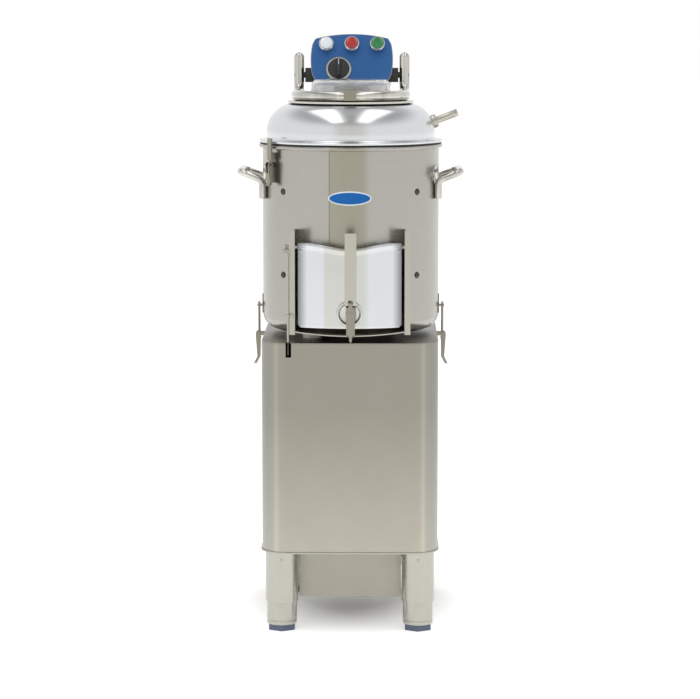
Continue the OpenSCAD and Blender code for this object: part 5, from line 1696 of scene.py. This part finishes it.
@dataclass
class Controls:
    """The column, the tilted box with its panel, three ringed buttons and the timer knob."""

    centre: Point = (0.0, 0.184, 1.078)
    tilt: float = 22.0
    panel_t: float = 0.002
    box_ease: float = 0.0006
    panel_ease: float = 0.0005
    corner: float = 0.0035
    corner_turns: Pair = (12.0, 60.0)
    corner_share: float = 0.99
    pitch: float = 0.051
    rise: float = 0.029
    ring_r: float = 0.0145
    ring_h: float = 0.016
    ring_floor: float = 0.0075
    ring_gap: float = 0.001
    ring_groove: tuple[Pair, ...] = ((0.0, 0.0035), (0.0006, 0.0028), (0.0006, 0.0022), (0.0, 0.0015))
    ring_hem: tuple[Pair, ...] = ((0.0002, 0.0006), (0.0009, 0.0))
    ring_lip: Pair = (0.0003, 0.0006)
    cap_r: float = 0.012
    cap_gap: float = 0.0001
    cap_face: float = 0.0195
    cap_h: float = 0.0055
    cap_hem: tuple[Pair, ...] = ((0.0, 0.0012), (0.0003, 0.0005), (0.001, 0.0001))
    cap_flat: float = 0.6
    stem_r: float = 0.007
    stem_low: float = -0.008
    knob_x: float = -0.026
    knob_z: float = -0.0205
    knob_r: float = 0.0205
    knob_h: float = 0.016
    knob_gap: float = 0.0004
    skirt_low: float = 0.0004
    skirt_hem: tuple[Pair, ...] = ((0.0, 0.0042), (0.0012, 0.0058), (0.005, 0.0064))
    skirt_top: float = 0.0066
    flute_reach: float = 0.002
    flute_depth: float = 0.012
    flutes: float = 24.0
    grip_half: float = 0.004
    grip_share: float = 0.9
    grip_low: float = 0.004
    grip_taper: float = 0.25
    grip_taper_low: float = 0.006
    grip_lift: float = 0.0004
    grip_ease: float = 0.0016
    spindle_r: float = 0.003
    spindle_reach: Pair = (-0.012, 0.001)
    pointer_half: float = 0.0005
    pointer_reach: Pair = (0.2, 0.86)
    pointer_lift: Pair = (0.0001, 0.00055)
    bezel_r: float = 0.026
    bezel_profile: tuple[Pair, ...] = ((0.0, 0.0012), (0.001, 0.0028))
    bezel_inner: tuple[Pair, ...] = ((0.002, 0.004), (0.0006, 0.004), (0.0, 0.0034))
    marks: int = 13
    mark_start: float = -135.0
    mark_step: float = 22.5
    mark_half: float = 0.0003
    mark_ends: Pair = (0.0026, 0.0012)
    mark_heights: Pair = (0.0024, 0.00335)

    def on_panel(self, x: float, z: float) -> Matrix:
        """Return the matrix that stands a spun shape on the panel's face.

        Args:
            x: the place from side to side, from the panel's middle.
            z: the place up the panel, from its middle.

        Returns:
            The matrix.
        """
        lean = Matrix.Translation(self.centre) @ Matrix.Rotation(math.radians(-self.tilt), 4, "X")
        out = Matrix.Rotation(math.radians(90.0), 4, "X")
        return lean @ Matrix.Translation((x, -self.panel_t, z)) @ out

    def box(self, node: str, ease: float) -> None:
        """Put a copy of the housing or the panel in its place, with its trimmed corners rounded.

        Args:
            node: the solid's name.
            ease: how far its other edges are rounded.
        """
        shape = merged(node)
        along = Matrix.Rotation(math.radians(-self.tilt), 3, "X") @ Vector((0.0, 1.0, 0.0))
        slight, full = (math.radians(turn) for turn in self.corner_turns)
        corners = [
            e for e in shape.edges
            if len(e.link_faces) == 2
            and slight < e.calc_face_angle(0.0) < full
            and abs((e.verts[1].co - e.verts[0].co).normalized().dot(along)) > self.corner_share
        ]
        bevelled(shape, corners, self.corner, 6)
        dressed(node, eased(shape, ease))

    def rings(self) -> None:
        """Build the three button rings and the timer's bezel."""
        shapes = []
        r, h, c = self.ring_r, self.ring_h, self.cap_r + self.cap_gap
        bore, lip = self.stem_r + self.ring_gap, self.ring_lip
        for place in (-1, 0, 1):
            ring = spun(
                [
                    (bore, 0.0), (r, 0.0), *((r - inset, h - drop) for inset, drop in self.ring_groove),
                    *((r - inset, h - drop) for inset, drop in self.ring_hem),
                    (c + lip[0], h), (c, h - lip[1]), (c, self.ring_floor), (bore, self.ring_floor),
                ],
                steps=64,
            )
            shapes.append(moved(ring, self.on_panel(place * self.pitch, self.rise)))
        b, k = self.bezel_r, self.knob_r + self.knob_gap
        outer = [(b - inset, height) for inset, height in self.bezel_profile]
        inner = [(k + inset, height) for inset, height in self.bezel_inner]
        bezel = spun([(k, 0.0), (b, 0.0), *outer, *inner], steps=96)
        moved(bezel, self.on_panel(self.knob_x, self.knob_z))
        place_piece("control_ring_set", joined(*shapes), "chrome", "machine", ["control_rings"])
        place_piece("timer_bezel", bezel, "bezel_satin", "machine", ["control_rings"])
        self.ticks()

    def ticks(self) -> None:
        """Lay short dark marks round the bezel."""
        half, (inner, outer), (low, high) = self.mark_half, self.mark_ends, self.mark_heights
        shapes = []
        for step in range(self.marks):
            turn = math.radians(self.mark_start + step * self.mark_step)
            mark = brick((-half, self.knob_r + inner, low), (half, self.bezel_r - outer, high))
            lean = Matrix.Rotation(-turn, 4, "Z")
            shapes.append(moved(mark, self.on_panel(self.knob_x, self.knob_z) @ lean))
        place_piece("timer_marks", joined(*shapes), "black_plastic", "machine")

    def button(self, name: str, place: int, finish: str, body: str, node: str) -> None:
        """Build a button with a soft domed cap on its stem.

        Args:
            name: the piece's name.
            place: -1 for the left one, 0 for the middle one, 1 for the right one.
            finish: the name of its finish.
            body: the body it moves with.
            node: the solid that it stands for.
        """
        r, top = self.cap_r, self.cap_face - self.panel_t
        low = top - self.cap_h
        cap = spun(
            [
                (0.0, self.stem_low), (self.stem_r, self.stem_low), (self.stem_r, low), (r, low),
                *((r - inset, top - drop) for inset, drop in self.cap_hem),
                (r * self.cap_flat, top), (0.0, top),
            ],
            steps=64, closed=False,
        )
        moved(cap, self.on_panel(place * self.pitch, self.rise))
        place_piece(name, cap, finish, body, [node])

    def knob(self) -> None:
        """Build the timer knob: a fluted skirt and a tall grip bar with a pointer line."""
        r, h, low = self.knob_r, self.knob_h, self.skirt_low
        hem = [(r - inset, height) for inset, height in self.skirt_hem]
        skirt = spun([(0.0, low), (r, low), *hem, (0.0, self.skirt_top)], steps=96, closed=False)
        for vert in skirt.verts:
            reach = math.hypot(vert.co.x, vert.co.y)
            if reach > r - self.flute_reach:
                turn = math.atan2(vert.co.y, vert.co.x)
                wave = 1.0 - self.flute_depth * (0.5 + 0.5 * math.cos(self.flutes * turn))
                vert.co.x *= wave
                vert.co.y *= wave
        half, reach = self.grip_half, r * self.grip_share
        bar = brick((-half, -reach, self.grip_low), (half, reach, h + self.grip_lift), self.grip_ease)
        for vert in bar.verts:
            vert.co.x *= 1.0 - self.grip_taper * max(0.0, (vert.co.z - self.grip_taper_low) / h)
        thin, (foot, head) = self.spindle_r, self.spindle_reach
        stem = spun([(0.0, foot), (thin, foot), (thin, head), (0.0, head)], steps=24, closed=False)
        whole = moved(joined(skirt, bar, stem), self.on_panel(self.knob_x, self.knob_z))
        place_piece("timer_knob_grip", whole, "black_plastic", "knob", ["timer_knob"])
        half, (near, far), (sunk, proud) = self.pointer_half, self.pointer_reach, self.pointer_lift
        line = brick((-half, r * near, h + sunk), (half, r * far, h + proud))
        moved(line, self.on_panel(self.knob_x, self.knob_z))
        place_piece("timer_pointer", line, "badge_white", "knob")

    def build(self) -> None:
        """Build the controls."""
        eased_copy("control_column", self.box_ease)
        self.box("control_housing", self.box_ease)
        self.box("control_panel", self.panel_ease)
        self.rings()
        self.button("lamp_cap", -1, "lamp_white", "machine", "pilot_lamp")
        self.button("stop_cap", 0, "stop_red", "stop", "stop_button")
        self.button("start_cap", 1, "start_green", "start", "start_button")
        self.knob()


@dataclass
class Latches:
    """The two side draw latches and the cover latch."""

    part_ease: float = 0.00035
    lever_ease: float = 0.0003
    cover_bracket: tuple[Point, Point] = ((-0.2, -0.2, 0.75), (0.0, 0.2, 0.893))

    def build(self) -> None:
        """Build the latches, with the cover latch's bracket dark below its hook."""
        for node in ("latch_keepers", "cover_latch_hook", "left_draw_rod", "right_draw_rod"):
            eased_copy(node, self.part_ease)
        brackets = eased_copy("latch_brackets", self.part_ease)
        refinish(brackets, "dark_steel_and_painted_shade", *self.cover_bracket)
        for node in ("cover_latch_lever", "left_latch_lever", "right_latch_lever"):
            eased_copy(node, self.lever_ease)


# ---- Studio ----


class Sky:
    """The node tree of the world, with short ways to add to it."""

    def __init__(self, name: str) -> None:
        """Make the world with its background, and find the direction and kind of each ray.

        Args:
            name: the world's name.
        """
        self.world = bpy.data.worlds.new(name)
        self.world.use_nodes = True
        self.tree = self.world.node_tree
        self.ground = self.tree.nodes["Background"]
        self.ground.inputs["Color"].default_value = (*WHITE, 1.0)
        split = self.tree.nodes.new("ShaderNodeSeparateXYZ")
        self.tree.links.new(self.tree.nodes.new("ShaderNodeTexCoord").outputs["Generated"], split.inputs[0])
        self.way = split.outputs
        self.rays = self.tree.nodes.new("ShaderNodeLightPath").outputs

    def step(self, operation: str, first: Value, second: Value | None = None) -> bpy.types.NodeSocket:
        """Add a Math node.

        Args:
            operation: what it does.
            first: its first value.
            second: its second value, where it has one.

        Returns:
            The result.
        """
        node = self.tree.nodes.new("ShaderNodeMath")
        node.operation = operation
        for socket, value in zip(node.inputs, (first, second)):
            if isinstance(value, bpy.types.NodeSocket):
                self.tree.links.new(value, socket)
            elif value is not None:
                socket.default_value = value
        return node.outputs[0]

    def share(self, value: bpy.types.NodeSocket, start: float, end: float) -> bpy.types.NodeSocket:
        """Add a smooth step.

        Args:
            value: the value to follow.
            start: where the step begins.
            end: where it ends.

        Returns:
            How far the value has come, from 0 to 1.
        """
        node = self.tree.nodes.new("ShaderNodeMapRange")
        node.interpolation_type = "SMOOTHSTEP"
        self.tree.links.new(value, node.inputs["Value"])
        node.inputs["From Min"].default_value = start
        node.inputs["From Max"].default_value = end
        return node.outputs["Result"]

    def tint(self, share: bpy.types.NodeSocket, colour: Colour) -> None:
        """Blend the background from white to a colour.

        Args:
            share: how much of the colour shows.
            colour: the colour.
        """
        node = self.tree.nodes.new("ShaderNodeMix")
        node.data_type = "RGBA"
        node.inputs[MIX_FIRST].default_value = (*WHITE, 1.0)
        node.inputs[MIX_SECOND].default_value = (*colour, 1.0)
        self.tree.links.new(share, node.inputs[MIX_SHARE])
        self.tree.links.new(node.outputs[MIX_RESULT], self.ground.inputs["Color"])


@dataclass
class Studio:
    """The floor, the light and the camera."""

    eye: Point = (0.0568, -5.06, 1.168)
    pitch: float = 82.7
    yaw: float = 0.66
    lens: float = 134.6
    sensor: float = 36.0
    view_end: float = 100.0
    room: float = 0.72
    ceiling_loss: float = 0.55
    ceiling_reach: Pair = (0.45, 0.85)
    front_tint: Colour = (0.80, 0.785, 0.72)
    front_reach: Pair = (0.88, 0.985)
    level_least: float = 0.001
    floor_r: float = 40.0
    floor_colour: Colour = (0.92, 0.92, 0.92)
    floor_rough: float = 0.9
    floor_gloss: float = 0.1
    paper_bump: Pair = (0.05, 0.0005)
    shade_place: Point = (0.0, -0.2, 0.0)
    shade_scale: Point = (1.7, 1.0, 1.0)
    shade_glow: Pair = (0.05, 0.5)
    shade_reach: Pair = (0.18, 0.42)
    aim: Point = (0.0, 0.0, 0.6)
    box_place: Point = (0.92, -0.6, 3.6)
    box_size: Pair = (0.95, 3.6)
    box_powers: Pair = (17.0, 16.0)
    fill_size: Pair = (2.4, 2.4)
    key_place: Point = (-2.6, -3.4, 2.6)
    key_power: float = 9.0
    side_place: Point = (3.2, -0.4, 1.0)
    side_powers: Pair = (5.0, 6.0)

    def camera(self) -> None:
        """Set up the camera at the viewing angle."""
        data = bpy.data.cameras.new("camera")
        data.lens = self.lens
        data.sensor_width = self.sensor
        data.clip_end = self.view_end
        cam = bpy.data.objects.new("camera", data)
        cam.location = self.eye
        cam.rotation_euler = (math.radians(self.pitch), 0.0, math.radians(self.yaw))
        bpy.context.scene.collection.objects.link(cam)
        bpy.context.scene.camera = cam

    def lamp(self, name: str, place: Point, size: Pair, power: float, aim: Point | None = None) -> None:
        """Add a soft box. One that is aimed only fills in, and isn't mirrored.

        Args:
            name: the lamp's name.
            place: where it hangs.
            size: its two sides.
            power: its power in watts.
            aim: the point that it faces. Without one it faces straight down.
        """
        data = bpy.data.lights.new(name, "AREA")
        data.shape = "RECTANGLE"
        data.size, data.size_y = size
        data.energy = power
        light = bpy.data.objects.new(name, data)
        light.location = place
        if aim is not None:
            way = Vector(aim) - Vector(place)
            light.rotation_euler = way.to_track_quat("-Z", "Y").to_euler()
            light.visible_glossy = False
        bpy.context.scene.collection.objects.link(light)

    def sky(self) -> None:
        """Give the world an even pale light, white where it is seen.

        Where it is mirrored, the ceiling between the soft boxes is duller, and the front has a warm tint.
        """
        sky = Sky("studio")
        across, depth, height = sky.way
        mirrored = sky.rays["Is Glossy Ray"]
        squares = sky.step("ADD", sky.step("POWER", across, 2.0), sky.step("POWER", depth, 2.0))
        level = sky.step("MAXIMUM", sky.step("SQRT", squares), self.level_least)
        forward = sky.step("DIVIDE", sky.step("MULTIPLY", depth, -1.0), level)
        seen = sky.step("MAXIMUM", sky.rays["Is Camera Ray"], sky.rays["Is Transmission Ray"])
        shown = sky.step("MAXIMUM", seen, mirrored)
        bright = sky.step("ADD", sky.step("MULTIPLY", shown, 1.0 - self.room), self.room)
        ceiling = sky.step("MULTIPLY", sky.share(height, *self.ceiling_reach), mirrored)
        dulled = sky.step("MULTIPLY", ceiling, self.ceiling_loss)
        sky.tree.links.new(sky.step("SUBTRACT", bright, dulled), sky.ground.inputs["Strength"])
        sky.tint(sky.step("MULTIPLY", sky.share(forward, *self.front_reach), mirrored), self.front_tint)
        bpy.context.scene.world = sky.world

    def floor(self) -> None:
        """Lay a wide pale floor that shows white, apart from the shade under the machine."""
        shape = bmesh.new()
        bmesh.ops.create_circle(shape, cap_ends=True, radius=self.floor_r, segments=96)
        mesh = bpy.data.meshes.new("floor")
        shape.to_mesh(mesh)
        shape.free()
        s = Shader("floor_paper")
        paper = s.noise(Cells.PAPER.value, detail=2.0)
        rays = s.add("ShaderNodeLightPath").outputs
        seen = s.calc("MAXIMUM", rays["Is Camera Ray"], rays["Is Glossy Ray"])
        seen = s.calc("MAXIMUM", seen, rays["Is Transmission Ray"])
        mapping = {"Vector": s.place, "Location": self.shade_place, "Scale": self.shade_scale}
        under = s.add("ShaderNodeMapping", mapping).outputs[0]
        reach = s.add("ShaderNodeVectorMath", {0: under}, operation="LENGTH").outputs["Value"]
        shown = s.calc("MULTIPLY", seen, s.span(reach, *self.shade_glow, *self.shade_reach))
        glow = s.calc("MAXIMUM", shown, self.shade_glow[0])
        mesh.materials.append(
            s.finish(
                Base_Color=self.floor_colour, Roughness=self.floor_rough,
                Specular_IOR_Level=self.floor_gloss, Emission_Color=WHITE, Emission_Strength=glow,
                Normal=s.relief(paper, *self.paper_bump),
            )
        )
        floor = bpy.data.objects.new("floor", mesh)
        bpy.context.scene.collection.objects.link(floor)

    def lamps(self) -> None:
        """Hang two soft boxes overhead, and three that fill in from the front and the sides."""
        sides = (("left", -1.0, 0), ("right", 1.0, 1))
        for word, side, row in sides:
            x, y, z = self.box_place
            self.lamp(f"{word}_box", (side * x, y, z), self.box_size, self.box_powers[row])
        self.lamp("key_lamp", self.key_place, self.fill_size, self.key_power, self.aim)
        for word, side, row in sides:
            x, y, z = self.side_place
            self.lamp(f"{word}_lamp", (side * x, y, z), self.fill_size, self.side_powers[row], self.aim)

    def build(self) -> None:
        """Build the whole studio."""
        self.camera()
        self.sky()
        self.floor()
        self.lamps()
        bpy.context.scene.view_settings.view_transform = "Standard"


def dress_nodes() -> None:
    """Give every solid its finish."""
    for name, node in frame["nodes"].items():
        node.data.materials.clear()
        node.data.materials.append(FINISHES[NODE_FINISH[name]])
        LOG.info("%s: %s", name, NODE_FINISH[name])


def main() -> None:
    """Build the studio and the machine in order."""
    logging.basicConfig(level=logging.INFO, format="%(name)s: %(message)s")
    dress_nodes()
    Studio().build()
    for assembly in (Stand(), Cabinet(), Drum(), Drive(), Chute(), Cover(), Controls(), Latches()):
        assembly.build()
    bpy.context.view_layer.update()


if __name__ == "__main__":
    main()
